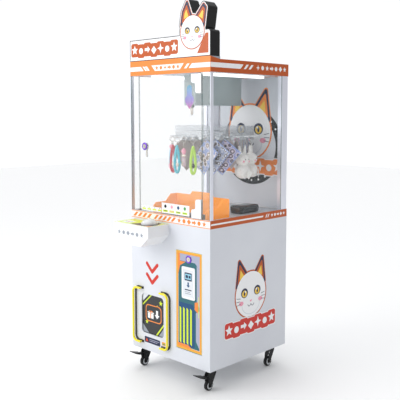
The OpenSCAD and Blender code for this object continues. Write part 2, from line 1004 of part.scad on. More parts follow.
module control_board() {
    x = in_w - 12;
    y = front_y + 300;
    z = base_z + 250;
    color("darkgreen")
        union() {
            block([x, y, z], [x + 1.6, y + 140, z + 110]);
            for (dy = [8, 132])
                for (dz = [8, 102])
                    rod_x(x, y + dy, z + dz, 3, 12 - seat_gap);
            block([x - 12, y + 20, z + 20], [x + 0.5, y + 60, z + 55]);
            block([x - 9, y + 80, z + 70], [x + 0.5, y + 130, z + 85]);
            block([x - 9, y + 75, z + 15], [x + 0.5, y + 125, z + 30]);
        }
}

module power_supply() {
    color("silver")
        translate([40, front_y + 330, base_z + 2 + seat_gap])
            difference() {
                cube([160, 98, 42]);
                translate([130, 3, 18])
                    cube([31, 92, 25]);
                for (i = [0 : 9])
                    translate([15 + 10 * i, 20, 40])
                        cube([4, 58, 5]);
            }
}

module roof_electrics() {
    color("whitesmoke")
        for (s = [-1, 1])
            translate([s * 170 - 12, front_y + 60, ceiling_z - 12])
                cube([24, 420, 12]);
    color([0.15, 0.15, 0.16])
        translate([100, front_y + 430, ceiling_z + 2 + seat_gap])
            difference() {
                union() {
                    cylinder(h = 3, r = 42);
                    cylinder(h = 22, r1 = 38, r2 = 22);
                    cylinder(h = 34, r = 20);
                }
                translate([0, 0, -1])
                    cylinder(h = 16, r1 = 34, r2 = 12);
            }
}

// ---- mechanism ----

module mech_housing() {
    x = mech_w / 2;
    y0 = front_y + mech_back;
    color("lightgray")
        union() {
            difference() {
                block([-x, y0, mech_z], [x, y0 + mech_l, ceiling_z]);
                block([-x + sheet, y0 + sheet, mech_z + sheet],
                    [x - sheet, y0 + mech_l - sheet, ceiling_z + 1]);
                rod_z(0, axis_y, mech_z - 1, column_r + free_gap, 5);
                block([-16, clip_y - 9, mech_z - 1], [16, clip_y + 9, mech_z + 5]);
            }
            difference() {
                block([-x + sheet, axis_y - 30, mech_z + 44], [x - sheet, axis_y + 30, mech_z + 46]);
                rod_z(0, axis_y, mech_z + 40, 6, 10);
            }
            for (s = [-1, 1])
                rod_z(s * 24, clip_y, mech_z + sheet, 3, mech_h - sheet);
        }
}

module badge() {
    color("mediumpurple")
        upright(front_y + mech_back - 3 - seat_gap, 3)
            translate([0, mech_z - 17])
                union() {
                    hull() {
                        translate([0, 96])
                            circle(18, $fn = 48);
                        translate([0, 60])
                            circle(16, $fn = 48);
                    }
                    hull() {
                        translate([-4, 42])
                            circle(26, $fn = 48);
                        translate([4, 42])
                            circle(26, $fn = 48);
                        translate([0, 5])
                            circle(5, $fn = 24);
                    }
                }
}

module mech_motors() {
    color([0.25, 0.25, 0.27])
        union() {
            difference() {
                union() {
                    rod_z(0, axis_y, mech_z + 46 + seat_gap, 18.5, 26);
                    rod_z(0, axis_y, mech_z + 60, 14, 62);
                }
                rod_z(0, axis_y, mech_z + 45, 4 + run_gap, 14);
            }
            translate([0, clip_y + 34, mech_z + sheet + seat_gap])
                difference() {
                    union() {
                        translate([-17, -9, 0])
                            cube([34, 44, 26]);
                        translate([0, 34, 13])
                            rotate([-90, 0, 0])
                                cylinder(h = 34, r = 12);
                    }
                }
        }
}

module carousel_column() {
    z0 = rack_z + 34;
    color("silver")
        union() {
            difference() {
                rod_z(0, axis_y, z0, column_r, mech_z - z0 + 3);
                rod_z(0, axis_y, z0 - 1, column_r - 3, mech_z - z0 + 2);
            }
            rod_z(0, axis_y, mech_z + sheet + soft_gap, column_r + 5, 5);
            rod_z(0, axis_y, mech_z + sheet + 5, 4, 51);
            difference() {
                rod_z(0, axis_y, z0, column_r + 15, 6);
                rod_z(0, axis_y, z0 - 1, column_r - 3, 8);
            }
        }
}

module prize_rack() {
    disc_z = rack_z + 40 + seat_gap;
    color([0.85, 0.9, 0.92, 0.4])
        union() {
            difference() {
                rod_z(0, axis_y, rack_z, rack_r, rack_h);
                rod_z(0, axis_y, rack_z - 1, rack_r - rack_wall, rack_h + 2);
            }
            difference() {
                rod_z(0, axis_y, disc_z, rack_r - rack_wall + 0.5, disc_t);
                rod_z(0, axis_y, disc_z - 1, column_r + seat_gap, disc_t + 2);
            }
            for (i = [0 : peg_n - 1])
                round_rack(i * 360 / peg_n, peg_in)
                    translate([0, 0, peg_z])
                        rotate([90, 0, 0])
                            cylinder(h = peg_out - peg_in, r = peg_r);
        }
}

module keychains() {
    l = 190;
    top = peg_z - peg_r - soft_gap;
    color("turquoise")
        for (a = key_angles)
            round_rack(a, 213)
                upright(-9, 18)
                    translate([0, top - l / 2])
                        round_rect(32, l, 15);
}

module card_packs() {
    long = 150;
    short = 110;
    t = 2;
    lean = 50;
    turn = 31;
    color("slateblue")
        for (a = card_angles)
            round_rack(a, 175)
                rotate([0, 0, -turn])
                    upright(-t / 2, t)
                        translate([0, peg_z - peg_r - soft_gap])
                            polygon([
                                [0, 0],
                                [-long * cos(lean), -long * sin(lean)],
                                [short * sin(lean) - long * cos(lean), -short * cos(lean) - long * sin(lean)],
                                [short * sin(lean), -short * cos(lean)]
                            ]);
}

module plush_prizes() {
    top = peg_z - peg_r - soft_gap;
    color("ivory")
        for (a = plush_angles)
            round_rack(a, 185)
                union() {
                    translate([0, 0, top - 166])
                        sphere(38);
                    translate([0, 0, top - 108])
                        sphere(32);
                    rod_z(0, 0, top - 80, 3, 80);
                }
}

module prize_bundle() {
    color([0.12, 0.12, 0.13])
        translate([half_w - 105, front_y + 357, floor_z + soft_gap])
            linear_extrude(42)
                round_rect(84, 150, 22);
}

module clip_slider() {
    color("gray")
        difference() {
            union() {
                block([-33, clip_y - 9, mech_z + 47], [33, clip_y + 9, mech_z + 73]);
                for (y = [-6, 3])
                    block([-12, clip_y + y, jaw_z - 7], [12, clip_y + y + 3, mech_z + 48]);
                for (s = [-1, 1])
                    rod_y(s * jaw_gap, clip_y - 5, jaw_z, 1.5, 10);
            }
            for (s = [-1, 1])
                rod_z(s * 24, clip_y, mech_z + 40, 3 + run_gap, 40);
        }
}

module jaw() {
    reach = 45;
    color("silver")
        difference() {
            union() {
                rod_y(jaw_gap, clip_y - 2.5, jaw_z, 4.5, 5);
                upright(clip_y - 2.5, 5)
                    translate([jaw_gap, jaw_z])
                        polygon([
                            [3.2, 0],
                            [2, -reach + 6],
                            [-4.6, -reach],
                            [-4.6, -12],
                            [-3, 0]
                        ]);
            }
            rod_y(jaw_gap, clip_y - 4, jaw_z, 1.5 + run_gap, 8);
        }
}

module jaw_left() {
    mirror([1, 0, 0])
        jaw();
}

module jaw_right() {
    jaw();
}

// ---- hinge pins ----

module hinge_pins() {
    ear = service_w / 2 + 4;
    flap_ear = outlet_w / 2 + flap_lap + 3.5;
    color("silver")
        union() {
            rod_x(service_x - ear, front_y + hinge_in, service_axis_z, service_pin_r, 2 * ear);
            rod_x(outlet_x - flap_ear, flap_axis_y, flap_axis_z, flap_pin_r, 2 * flap_ear);
            rod_z(rear_pin_x, rear_pin_y, base_z + sill_h - 1, rear_pin_r, 15);
            rod_z(rear_pin_x, rear_pin_y, base_z + low_h - rear_high - 10, rear_pin_r, 14.5);
            rod_z(pivot_x, door_y, cabin_z - frame_t, pivot_r, 20);
            rod_z(pivot_x, door_y, header_z - 23, pivot_r, 25);
        }
}

// ---- casters ----

// Corner c: 0 front left, 1 front right, 2 rear left, 3 rear right
module at_caster(c) {
    x = half_w - caster_side;
    translate([c % 2 == 0 ? -x : x, c < 2 ? front_y + caster_end : back_y - caster_end, 0])
        children();
}

module caster_plates() {
    color([0.15, 0.15, 0.16])
        for (c = [0 : 3])
            at_caster(c) {
                difference() {
                    union() {
                        block([-plate_x / 2, -plate_y / 2, base_z - 2.5 - seat_gap],
                            [plate_x / 2, plate_y / 2, base_z - seat_gap]);
                        rod_z(0, 0, base_z - 10, 19, 8);
                        rod_z(0, 0, base_z - 19, kingpin_r, 17);
                        rod_z(0, 0, base_z - 18.5, 7, 3);
                    }
                    for (x = [-1, 1])
                        for (y = [-1, 1])
                            rod_z(x * bolt_x / 2, y * bolt_y / 2, base_z - 12, bolt_r + 0.3, 14);
                }
                for (x = [-1, 1])
                    for (y = [-1, 1])
                        translate([x * bolt_x / 2, y * bolt_y / 2, 0]) {
                            translate([0, 0, base_z - 6.8])
                                cylinder(h = 4, r = 5, $fn = 6);
                            rod_z(0, 0, base_z - 5, bolt_r, 14);
                            translate([0, 0, base_z + 2 + seat_gap])
                                cylinder(h = 5, r = 5.5, $fn = 6);
                        }
            }
}

module caster_fork(c) {
    arm_in = wheel_w / 2 + 1;
    arm_t = 2.5;
    top = base_z - 10.5;
    slope = c < 2 ? 14 : 4;
    at_caster(c)
        color([0.08, 0.08, 0.09]) {
            difference() {
                union() {
                    rod_z(0, 0, top - 4.5, 20, 4.5);
                    for (s = [-1, 1])
                        sideways(s > 0 ? arm_in : -arm_in - arm_t, arm_t)
                            union() {
                                polygon([
                                    [14, top],
                                    [14, top - 16],
                                    [-trail + 8, wheel_r - 2],
                                    [-trail - 8, wheel_r - 2],
                                    [-trail - slope, top - 24],
                                    [-trail - slope + 4, top - 40 + slope * 2],
                                    [-16, top]
                                ]);
                                translate([-trail, wheel_r])
                                    circle(8.5);
                            }
                    if (c < 2)
                        rod_x(-arm_in - arm_t - 1.5, -26, wheel_r + 35, pedal_pin_r,
                            2 * (arm_in + arm_t) + 3);
                }
                rod_z(0, 0, top - 10, kingpin_r + run_gap, 20);
                rod_x(-arm_in - 5, -trail, wheel_r, axle_r + run_gap, 2 * arm_in + 10);
            }
            rod_x(-arm_in - arm_t - 2.6, -trail, wheel_r, axle_r, 2 * (arm_in + arm_t) + 5.2);
            for (s = [-1, 1])
                rod_x(s > 0 ? arm_in + arm_t + seat_gap : -arm_in - arm_t - seat_gap - 3, -trail,
                    wheel_r, 6.5, 3);
        }
}

module caster_wheel(c) {
    edge = 3;
    at_caster(c)
        color([0.2, 0.2, 0.2])
            translate([-wheel_w / 2, -trail, wheel_r])
                rotate([0, 90, 0])
                    rotate_extrude()
                        polygon([
                            [axle_r + run_gap, 0],
                            [8, 0],
                            [8, 1.5],
                            [11, 1.5],
                            [11, 0.5],
                            [wheel_r - 7, 0.5],
                            [wheel_r - 7, 1.5],
                            [wheel_r - edge, 1.5],
                            [wheel_r, 1.5 + edge],
                            [wheel_r, wheel_w - 1.5 - edge],
                            [wheel_r - edge, wheel_w - 1.5],
                            [wheel_r - 7, wheel_w - 1.5],
                            [wheel_r - 7, wheel_w - 0.5],
                            [11, wheel_w - 0.5],
                            [11, wheel_w - 1.5],
                            [8, wheel_w - 1.5],
                            [8, wheel_w],
                            [axle_r + run_gap, wheel_w]
                        ]);
}

module caster_pedal(c) {
    at_caster(c)
        color([0.1, 0.1, 0.1])
            difference() {
                union() {
                    sideways(-wheel_w / 2 + 0.5, wheel_w - 1)
                        union() {
                            translate([-26, wheel_r + 35])
                                circle(6);
                            polygon([
                                [-24, wheel_r + 41],
                                [-44, wheel_r + 48],
                                [-60, wheel_r + 50],
                                [-60, wheel_r + 42],
                                [-46, wheel_r + 33],
                                [-36, wheel_r + 30],
                                [-26, wheel_r + 29.2]
                            ]);
                        }
                    sideways(-19, 38)
                        polygon([
                            [-56, wheel_r + 50],
                            [-100, wheel_r + 63],
                            [-107, wheel_r + 67],
                            [-107, wheel_r + 63],
                            [-98, wheel_r + 57],
                            [-74, wheel_r + 47],
                            [-56, wheel_r + 43]
                        ]);
                }
                rod_x(-20, -26, wheel_r + 35, pedal_pin_r + run_gap, 40);
            }
}

module caster_fork_fl() {
    caster_fork(0);
}

module caster_fork_fr() {
    caster_fork(1);
}

module caster_fork_rl() {
    caster_fork(2);
}

module caster_fork_rr() {
    caster_fork(3);
}

module caster_wheel_fl() {
    caster_wheel(0);
}

module caster_wheel_fr() {
    caster_wheel(1);
}

module caster_wheel_rl() {
    caster_wheel(2);
}

module caster_wheel_rr() {
    caster_wheel(3);
}

module caster_pedal_fl() {
    caster_pedal(0);
}

module caster_pedal_fr() {
    caster_pedal(1);
}

base_pan();
side_panel_left();
side_panel_right();
front_panel();
deck_frame();
play_deck();
chute();
outlet_frame();
guard_rails();
guard_backing();
console_shell();
console_top();
button_bezel();
header_frame();
ceiling_panel();
sign_housing();
sign_face();
corner_posts();
fixed_panes();
back_panel();
hinge_pins();
fence();
mech_housing();
badge();
mech_motors();
power_inlet();
control_board();
power_supply();
roof_electrics();
prize_bundle();
caster_plates();
glass_door();
door_fittings();
door_lock();
service_door();
payment_plate();
service_lock();
outlet_flap();
rear_door();
rear_lock();
button_dome();
power_rocker();
prize_rack();
carousel_column();
keychains();
card_packs();
plush_prizes();
clip_slider();
jaw_left();
jaw_right();
caster_fork_fl();
caster_fork_fr();
caster_fork_rl();
caster_fork_rr();
caster_wheel_fl();
caster_wheel_fr();
caster_wheel_rl();
caster_wheel_rr();
caster_pedal_fl();
caster_pedal_fr();
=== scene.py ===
# %% [markdown]
# # A clip prize machine
#
# The machine is a glass cabin on a sheet-steel cabinet. Inside, a clear rack turns and carries hung
# prizes, and a clip comes down from a housing under the ceiling. The steel, glass and mechanism are
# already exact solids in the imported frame, so this lesson gives them their finishes, adds the printed
# films, and builds the soft and small things: prizes, labels, lock rings and seals.

# %% Load the frame
import math

import bmesh
import bpy
from mathutils import Matrix, Vector, noise


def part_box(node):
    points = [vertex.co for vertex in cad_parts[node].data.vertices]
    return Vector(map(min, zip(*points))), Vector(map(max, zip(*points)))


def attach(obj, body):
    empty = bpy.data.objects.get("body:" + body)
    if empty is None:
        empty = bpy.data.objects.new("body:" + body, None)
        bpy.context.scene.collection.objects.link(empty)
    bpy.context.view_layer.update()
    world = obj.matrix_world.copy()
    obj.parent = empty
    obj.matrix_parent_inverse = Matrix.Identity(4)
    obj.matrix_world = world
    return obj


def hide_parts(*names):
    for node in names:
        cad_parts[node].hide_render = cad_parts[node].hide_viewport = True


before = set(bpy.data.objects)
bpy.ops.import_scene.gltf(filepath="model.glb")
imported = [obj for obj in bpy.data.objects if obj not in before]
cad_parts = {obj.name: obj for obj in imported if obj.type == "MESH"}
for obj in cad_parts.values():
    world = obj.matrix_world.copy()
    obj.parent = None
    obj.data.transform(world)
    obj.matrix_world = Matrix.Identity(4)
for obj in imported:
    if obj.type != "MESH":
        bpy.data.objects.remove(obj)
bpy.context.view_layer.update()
MM = 0.001

# %% [markdown]
# ## Places that everything else is measured from
#
# Every size below comes from the boxes of the solids, so a print lands on its panel even if the
# cabinet is made wider or taller.

# %% Key planes
cabinet_low, cabinet_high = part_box("side_panel_right")
half_w = cabinet_high.x
front_y = cabinet_low.y
back_y = cabinet_high.y
base_z = cabinet_low.z
deck_low, deck_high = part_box("deck_frame")
header_low, header_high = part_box("header_frame")
ledge_h = 0.011
roof_z = header_high.z - ledge_h
rack_low, rack_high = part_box("prize_rack")
rack_axis = (rack_low + rack_high) / 2
rack_axis.z = 0
print("cabinet", round(2 * half_w, 3), "wide,", round(back_y - front_y, 3), "deep")

# %% [markdown]
# ## Colour and nodes
#
# Colours are written as the hex codes a printer would use, and turned to linear light once. One
# function adds a node, sets it and links it, so a finish reads as a short list.

# %% Colour and node helpers
def linear(code):
    """An sRGB hex colour as opaque linear RGBA."""
    parts = [int(code[i:i + 2], 16) / 255 for i in (1, 3, 5)]
    return [p / 12.92 if p <= 0.04045 else ((p + 0.055) / 1.055) ** 2.4 for p in parts] + [1.0]


def add(tree, kind, links=None, values=None, **settings):
    """Adds a node: settings are its own, values go on its sockets, links come from other sockets."""
    node = tree.nodes.new(kind)
    for key, value in settings.items():
        setattr(node, key, value)
    for key, value in (values or {}).items():
        node.inputs[key].default_value = value
    for key, source in (links or {}).items():
        tree.links.new(source, node.inputs[key])
    return node


print("white in linear light", linear("#FFFFFF"))

# %% [markdown]
# ## A finish and its patterns
#
# Real surfaces are never one flat colour. Each finish starts from the Principled shader, and three
# patterns are laid on it: grain that bumps the surface, a colour that drifts, and a roughness that drifts.
# A picture could do the same, but noise in object coordinates has no seams and keeps its real size.

# %% Finish and patterns
def finish(name, code, rough=0.4, metal=0.0, **sockets):
    """A Principled finish in one colour, and its tree and shader for more work."""
    mat = bpy.data.materials.new(name)
    mat.use_nodes = True
    tree = mat.node_tree
    shader = tree.nodes["Principled BSDF"]
    shader.inputs["Base Color"].default_value = linear(code)
    shader.inputs["Roughness"].default_value = rough
    shader.inputs["Metallic"].default_value = metal
    for key, value in sockets.items():
        shader.inputs[key.replace("_", " ")].default_value = value
    mat.diffuse_color = linear(code)
    return mat, tree, shader


def grain(tree, shader, size_mm, strength, depth_mm=0.1, detail=3.0, stretch=(1, 1, 1)):
    """Bump from noise whose grains are size_mm across, in object coordinates."""
    place = add(tree, "ShaderNodeTexCoord")
    turned = add(tree, "ShaderNodeMapping", {"Vector": place.outputs["Object"]}, {"Scale": stretch})
    cloud = add(tree, "ShaderNodeTexNoise", {"Vector": turned.outputs["Vector"]},
                {"Scale": 1 / (size_mm * MM), "Detail": detail})
    bump = add(tree, "ShaderNodeBump", {"Height": cloud.outputs["Fac"]},
               {"Strength": strength, "Distance": depth_mm * MM})
    tree.links.new(bump.outputs["Normal"], shader.inputs["Normal"])


def mottle(tree, shader, dark, light, size_mm):
    """Colour that drifts between two hex codes in patches of size_mm."""
    place = add(tree, "ShaderNodeTexCoord")
    cloud = add(tree, "ShaderNodeTexNoise", {"Vector": place.outputs["Object"]},
                {"Scale": 1 / (size_mm * MM), "Detail": 4.0})
    ramp = add(tree, "ShaderNodeValToRGB", {"Fac": cloud.outputs["Fac"]})
    ramp.color_ramp.elements[0].position = 0.3
    ramp.color_ramp.elements[0].color = linear(dark)
    ramp.color_ramp.elements[1].position = 0.7
    ramp.color_ramp.elements[1].color = linear(light)
    tree.links.new(ramp.outputs["Color"], shader.inputs["Base Color"])


def rough_drift(tree, shader, low, high, size_mm):
    """Roughness that drifts between two values, as on a handled or a coated surface."""
    place = add(tree, "ShaderNodeTexCoord")
    cloud = add(tree, "ShaderNodeTexNoise", {"Vector": place.outputs["Object"]},
                {"Scale": 1 / (size_mm * MM), "Detail": 3.0})
    spread = add(tree, "ShaderNodeMapRange", {"Value": cloud.outputs["Fac"]},
                 {"To Min": low, "To Max": high})
    tree.links.new(spread.outputs["Result"], shader.inputs["Roughness"])


print("patterns", [pattern.__name__ for pattern in (grain, mottle, rough_drift)])

# %% [markdown]
# ## Powder-coated steel
#
# The cabinet's sheets are sprayed with powder and baked. That leaves a satin white with a faint
# orange-peel ripple about a millimetre across, which breaks up reflections but not the colour.

# %% Coated steel
def powder_coat(name, dark, light, rough=0.36):
    """Baked polyester powder: a dull satin with a ripple a little over a millimetre across."""
    mat, tree, shader = finish(name, light, rough)
    mottle(tree, shader, dark, light, 240)
    rough_drift(tree, shader, rough - 0.06, rough + 0.08, 60)
    grain(tree, shader, 1.6, 0.12, 0.08)
    return mat


white_coat = powder_coat("powder_coat_white", "#D6D9E0", "#DCDFE5")
cabin_coat = powder_coat("powder_coat_cabin_grey", "#CDD1D7", "#D6DADF", 0.42)
mech_coat = powder_coat("powder_coat_mechanism", "#98A5A6", "#A9B5B6", 0.45)
print("coats", white_coat.name, cabin_coat.name, mech_coat.name)

# %% [markdown]
# ## Colours of film
#
# The graphics are self-adhesive vinyl, cut and laid in colours. The film is smoother than the coat under
# it, so it shows a tighter highlight, and the roller that pressed it on left long shallow waves.

# %% Film colours
def printed_film(name, code, rough=0.3):
    """Self-adhesive vinyl: a smooth gloss film with a little unevenness from the roller."""
    mat, tree, shader = finish(name, code, rough, Coat_Weight=0.1, Coat_Roughness=0.12,
                               Specular_IOR_Level=0.3)
    rough_drift(tree, shader, rough - 0.05, rough + 0.1, 18)
    grain(tree, shader, 9, 0.05, 0.05, 2.0)
    return mat


film = {
    "white": printed_film("film_white", "#F3F4F5"),
    "orange": printed_film("film_orange", "#F08A3C"),
    "rust": printed_film("film_rust", "#BD5418"),
    "red": printed_film("film_red", "#CE2E20"),
    "black": printed_film("film_black", "#0E0F11"),
    "navy": printed_film("film_navy", "#1C2748"),
    "blue": printed_film("film_blue", "#124A78"),
    "teal": printed_film("film_teal", "#2A6770"),
    "sky": printed_film("film_sky", "#8FC6DA"),
    "lime": printed_film("film_lime", "#D6EA34"),
    "yellow": printed_film("film_yellow", "#F2C94C"),
    "amber": printed_film("film_amber", "#F0A23A"),
    "grey": printed_film("film_grey", "#9AA1AA"),
    "lilac": printed_film("film_lilac", "#A9ABC0"),
    "pale": printed_film("film_pale_grey", "#DDE1E6"),
    "pink": printed_film("film_pink", "#EFA0B4"),
    "green": printed_film("film_green", "#57A05A"),
    "charcoal": printed_film("film_charcoal", "#303336"),
}
print("films", len(film))

# %% [markdown]
# ## Plastics and metals
#
# Moulded plastics are smooth with a soft highlight. Brushed and drawn metals have fine lines along one
# way, so their grain is stretched along it. Galvanised sheet shows large zinc crystals instead.

# %% Moulded and metal finishes
def moulded(name, code, rough=0.3, grain_mm=0.8, strength=0.06, **sockets):
    """Injection-moulded plastic: the mould's fine texture under a soft highlight."""
    mat, tree, shader = finish(name, code, rough, **sockets)
    rough_drift(tree, shader, max(0.02, rough - 0.05), rough + 0.07, 25)
    grain(tree, shader, grain_mm, strength, 0.05)
    return mat


def drawn_metal(name, code, rough=0.28, stretch=(1, 1, 0.04), size_mm=0.7):
    """Metal with its working lines: stretch is small along the lines, and equal for none."""
    mat, tree, shader = finish(name, code, rough, 1.0)
    rough_drift(tree, shader, rough - 0.06, rough + 0.1, 12)
    grain(tree, shader, size_mm, 0.1, 0.03, 2.0, stretch)
    return mat


abs_white = moulded("abs_moulded_white", "#EEF0F2", 0.3, 0.5, 0.02)
abs_black = moulded("abs_moulded_black", "#1C1D20", 0.42, 0.6, 0.15)
nylon_black = moulded("nylon_caster_black", "#0F1012", 0.45, 0.5, 0.2, Specular_IOR_Level=0.3)
sign_black = moulded("sign_return_black", "#0B0B0C", 0.35, Specular_IOR_Level=0.3)
gloss_yellow = moulded("enamel_guard_yellow", "#F4E41F", 0.22, 2.0, 0.05, Coat_Weight=0.4)
rocker_red = moulded("rocker_moulded_red", "#C8261E", 0.25)
board_green = moulded("circuit_board_green", "#1C5A36", 0.4, 3.0, 0.3)
anodised = drawn_metal("anodised_aluminium", "#E4E6EE", 0.42)
plain_steel = drawn_metal("drawn_steel", "#A9ABAE", 0.3, (0.05, 1, 1))
galvanised = drawn_metal("galvanised_sheet", "#A8ADB0", 0.42, (1, 1, 1), 9)
nickel = drawn_metal("nickel_plate", "#CFC9C0", 0.16, (1, 1, 1), 2)
print("metals", anodised.name, plain_steel.name, galvanised.name, nickel.name)

# %% [markdown]
# ## Glass and acrylic
#
# From its face a clear pane holds a little haze and a reflection, and at its cut edges the light comes
# out bottle green, so faces and edges get different finishes. True refraction would be slow and noisy
# for sheets this thin, so each pane is mostly let through and keeps a thin film of its own colour. The
# orange acrylic and its edges get a faint painted glow, an even emission that stands in for light
# shining through the sheet.

# %% Clear and tinted panes
def clear_sheet(name, code, alpha, rough=0.04, **sockets):
    """A thin clear pane: most light passes, and the rest is a pale film with a sharp highlight."""
    mat, tree, shader = finish(name, code, rough, Alpha=alpha, **sockets)
    rough_drift(tree, shader, rough, rough + 0.04, 90)
    return mat


door_glass = clear_sheet("float_glass_door", "#F6FAFA", 0.07, 0.05, IOR=1.5)
side_glass = clear_sheet("float_glass_side", "#DDE8EC", 0.035, 0.03, IOR=1.5)
glass_edge = clear_sheet("float_glass_cut_edge", "#5A7872", 0.5, 0.2)
rack_acrylic = clear_sheet("acrylic_clear", "#DDE3E8", 0.2, 0.06, IOR=1.49)
rack_edge = clear_sheet("acrylic_clear_edge", "#C3CBD1", 0.7, 0.12)
# The emission on the orange acrylic and its edges is a painted glow standing in for light shining through the
# sheet, not a lamp.
fence_acrylic = clear_sheet("acrylic_orange", "#FFA424", 0.7, 0.1, IOR=1.49, Emission_Strength=0.22)
fence_edge = clear_sheet("acrylic_orange_edge", "#FFA548", 0.95, 0.15, Emission_Strength=0.4)
for sheet in (fence_acrylic, fence_edge):
    sheet.node_tree.nodes["Principled BSDF"].inputs["Emission Color"].default_value = linear("#FFB048")
dome_opal = moulded("dome_opal", "#F6F8F8", 0.12, 3.0, 0.02, Alpha=0.8, Coat_Weight=0.5)
print("panes", door_glass.name, side_glass.name, rack_acrylic.name, fence_acrylic.name)

# %% [markdown]
# ## Finishes for the solids
#
# Each solid keeps its exact mesh and only gets finishes. Where one piece has two, such as a pane's
# faces and its cut edges, a rule looks at each face's middle and direction and picks one.

# %% Dress a solid
def dress(node, *mats, pick=None):
    """Gives a CAD node its finishes; pick(middle, normal) returns which one a face takes."""
    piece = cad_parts[node]
    piece.data.materials.clear()
    for mat in mats:
        piece.data.materials.append(mat)
    for face in piece.data.polygons:
        face.material_index = pick(face.center, face.normal) if pick else 0


one_finish = [
    (white_coat, ["base_pan", "side_panel_left", "side_panel_right", "front_panel", "rear_door",
                  "outlet_frame"]),
    (cabin_coat, ["play_deck", "ceiling_panel", "back_panel"]),
    (abs_white, ["console_shell", "button_bezel", "door_fittings", "payment_plate"]),
    (abs_black, ["guard_backing", "power_inlet", "mech_motors"]),
    (nylon_black, [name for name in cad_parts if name.startswith(("caster_fork", "caster_pedal"))]),
    (plain_steel, ["caster_plates", "hinge_pins"]),
    (galvanised, ["chute", "power_supply"]),
    (gloss_yellow, ["guard_rails"]),
    (anodised, ["corner_posts", "carousel_column"]),
    (nickel, ["jaw_left", "jaw_right", "door_lock", "service_lock", "rear_lock"]),
    (mech_coat, ["mech_housing", "clip_slider"]),
    (board_green, ["control_board"]),
    (rocker_red, ["power_rocker"]),
    (dome_opal, ["button_dome"]),
    (sign_black, ["sign_housing"]),
]
for coat, nodes in one_finish:
    for node in nodes:
        dress(node, coat)
print("solids in one finish", sum(len(nodes) for coat, nodes in one_finish))

# %% [markdown]
# ## Lamps, panes, rack and fence
#
# The lamp bars are opal tubes that glow softly under the ceiling, beside a black speaker. A pane's
# large faces are clear and its edges green. In the rack the pegs are white and the rims catch the light.
# A rule that reads the face's direction keeps this right when a pane is resized.

# %% Two-finish solids
lamp_opal, lamp_tree, lamp_shader = finish("lamp_opal", "#F2F4F5", 0.4, Emission_Strength=1.2)
lamp_shader.inputs["Emission Color"].default_value = linear("#FFFFFF")
grain(lamp_tree, lamp_shader, 4, 0.05)
lamp_top = header_low.z + 0.003
dress("roof_electrics", lamp_opal, abs_black, pick=lambda c, n: 0 if c.z < lamp_top else 1)
dress("glass_door", door_glass, glass_edge, pick=lambda c, n: 0 if abs(n.y) > 0.7 else 1)
front_strip_y = front_y + 0.0075
front_strip_x = half_w - 0.0072


def pane_part(c, n):
    """Front strips face Y and side panes face X; whatever faces another way is a cut edge."""
    if c.y < front_strip_y and abs(c.x) < front_strip_x:
        return 1 if abs(n.y) > 0.7 else 2
    return 0 if abs(n.x) > 0.7 else 2


dress("fixed_panes", side_glass, door_glass, glass_edge, pick=pane_part)
peg_white = moulded("peg_moulded_white", "#F4F5F6", 0.3)
band_outer, band_inner = 0.199, 0.19
peg_top = rack_low.z + 0.03


def rack_part(c, n):
    """Pegs are white, rims catch the light, and the rest of the rack is clear."""
    away = math.hypot(c.x - rack_axis.x, c.y - rack_axis.y)
    if away > band_outer or (away < band_inner and c.z < peg_top):
        return 2
    at_rim = min(abs(c.z - rack_high.z), abs(c.z - rack_low.z)) < 0.001
    return 1 if abs(n.z) > 0.7 and at_rim else 0


dress("prize_rack", rack_acrylic, rack_edge, peg_white, pick=rack_part)
dress("fence", fence_acrylic, fence_edge, pick=lambda c, n: 1 if abs(n.z) > 0.3 else 0)
print("clear solids dressed: roof_electrics, glass_door, fixed_panes, prize_rack, fence")

# %% [markdown]
# ## Caster wheels
#
# A caster's wheel is a grey polypropylene disc in a black rubber tread, moulded in two shots. The disc
# is a ring of faces between two shares of the wheel's radius, so a rule on the distance from the axle
# finds it.

# %% Caster wheels
tread_rubber = moulded("tread_rubber", "#161718", 0.55, 0.5, 0.3, Specular_IOR_Level=0.3)
hub_grey = moulded("hub_polypropylene_grey", "#C6C9CC", 0.4)
disc_inner, disc_outer = 0.44, 0.72
wheels = [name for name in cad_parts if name.startswith("caster_wheel")]
for name in wheels:
    low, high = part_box(name)
    axle = (low + high) / 2
    radius = (high.z - low.z) / 2

    def wheel_part(c, n, axle=axle, radius=radius):
        """The grey disc shows on the wheel's two faces only."""
        away = math.hypot(c.y - axle.y, c.z - axle.z)
        return 1 if disc_inner < away / radius < disc_outer and abs(n.x) > 0.9 else 0
    dress(name, tread_rubber, hub_grey, pick=wheel_part)
print("wheels", len(wheels), "radius mm", round(radius / MM, 1))

# %% [markdown]
# ## Badge
#
# The badge on the mechanism is a cut acrylic plate with a print that runs from teal at the top to
# magenta at the bottom. A ramp over the height does that, measured between the plate's own ends.

# %% Badge
badge_low, badge_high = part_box("badge")
badge_print, tree, shader = finish("badge_print", "#6F7FC4", 0.25, Coat_Weight=0.4)
place = add(tree, "ShaderNodeTexCoord")
axes = add(tree, "ShaderNodeSeparateXYZ", {"Vector": place.outputs["Object"]})
height = add(tree, "ShaderNodeMapRange", {"Value": axes.outputs["Z"]},
             {"From Min": badge_low.z, "From Max": badge_high.z})
run = add(tree, "ShaderNodeValToRGB", {"Fac": height.outputs["Result"]})
run.color_ramp.elements[0].color = linear("#C0508F")
run.color_ramp.elements[1].color = linear("#3FA9C8")
for position, code in ((0.3, "#8F6BC0"), (0.62, "#7C8FD6")):
    run.color_ramp.elements.new(position).color = linear(code)
tree.links.new(run.outputs["Color"], shader.inputs["Base Color"])
grain(tree, shader, 6, 0.05)
dress("badge", badge_print, film["white"], pick=lambda c, n: 0 if n.y < -0.5 else 1)
print("badge height mm", round((badge_high.z - badge_low.z) / MM, 1))

# %% [markdown]
# ## Printed films
#
# The graphics are cut films stuck on the panels. Each is built as a thin solid: an outline is filled,
# then extruded by a layer's thickness. Films that lie on others sit one layer higher, so their edges
# stay crisp from any side. A panel's place is a function from (across, up, out) to the frame.

# %% Panels and pieces
LAYER = 0.00006


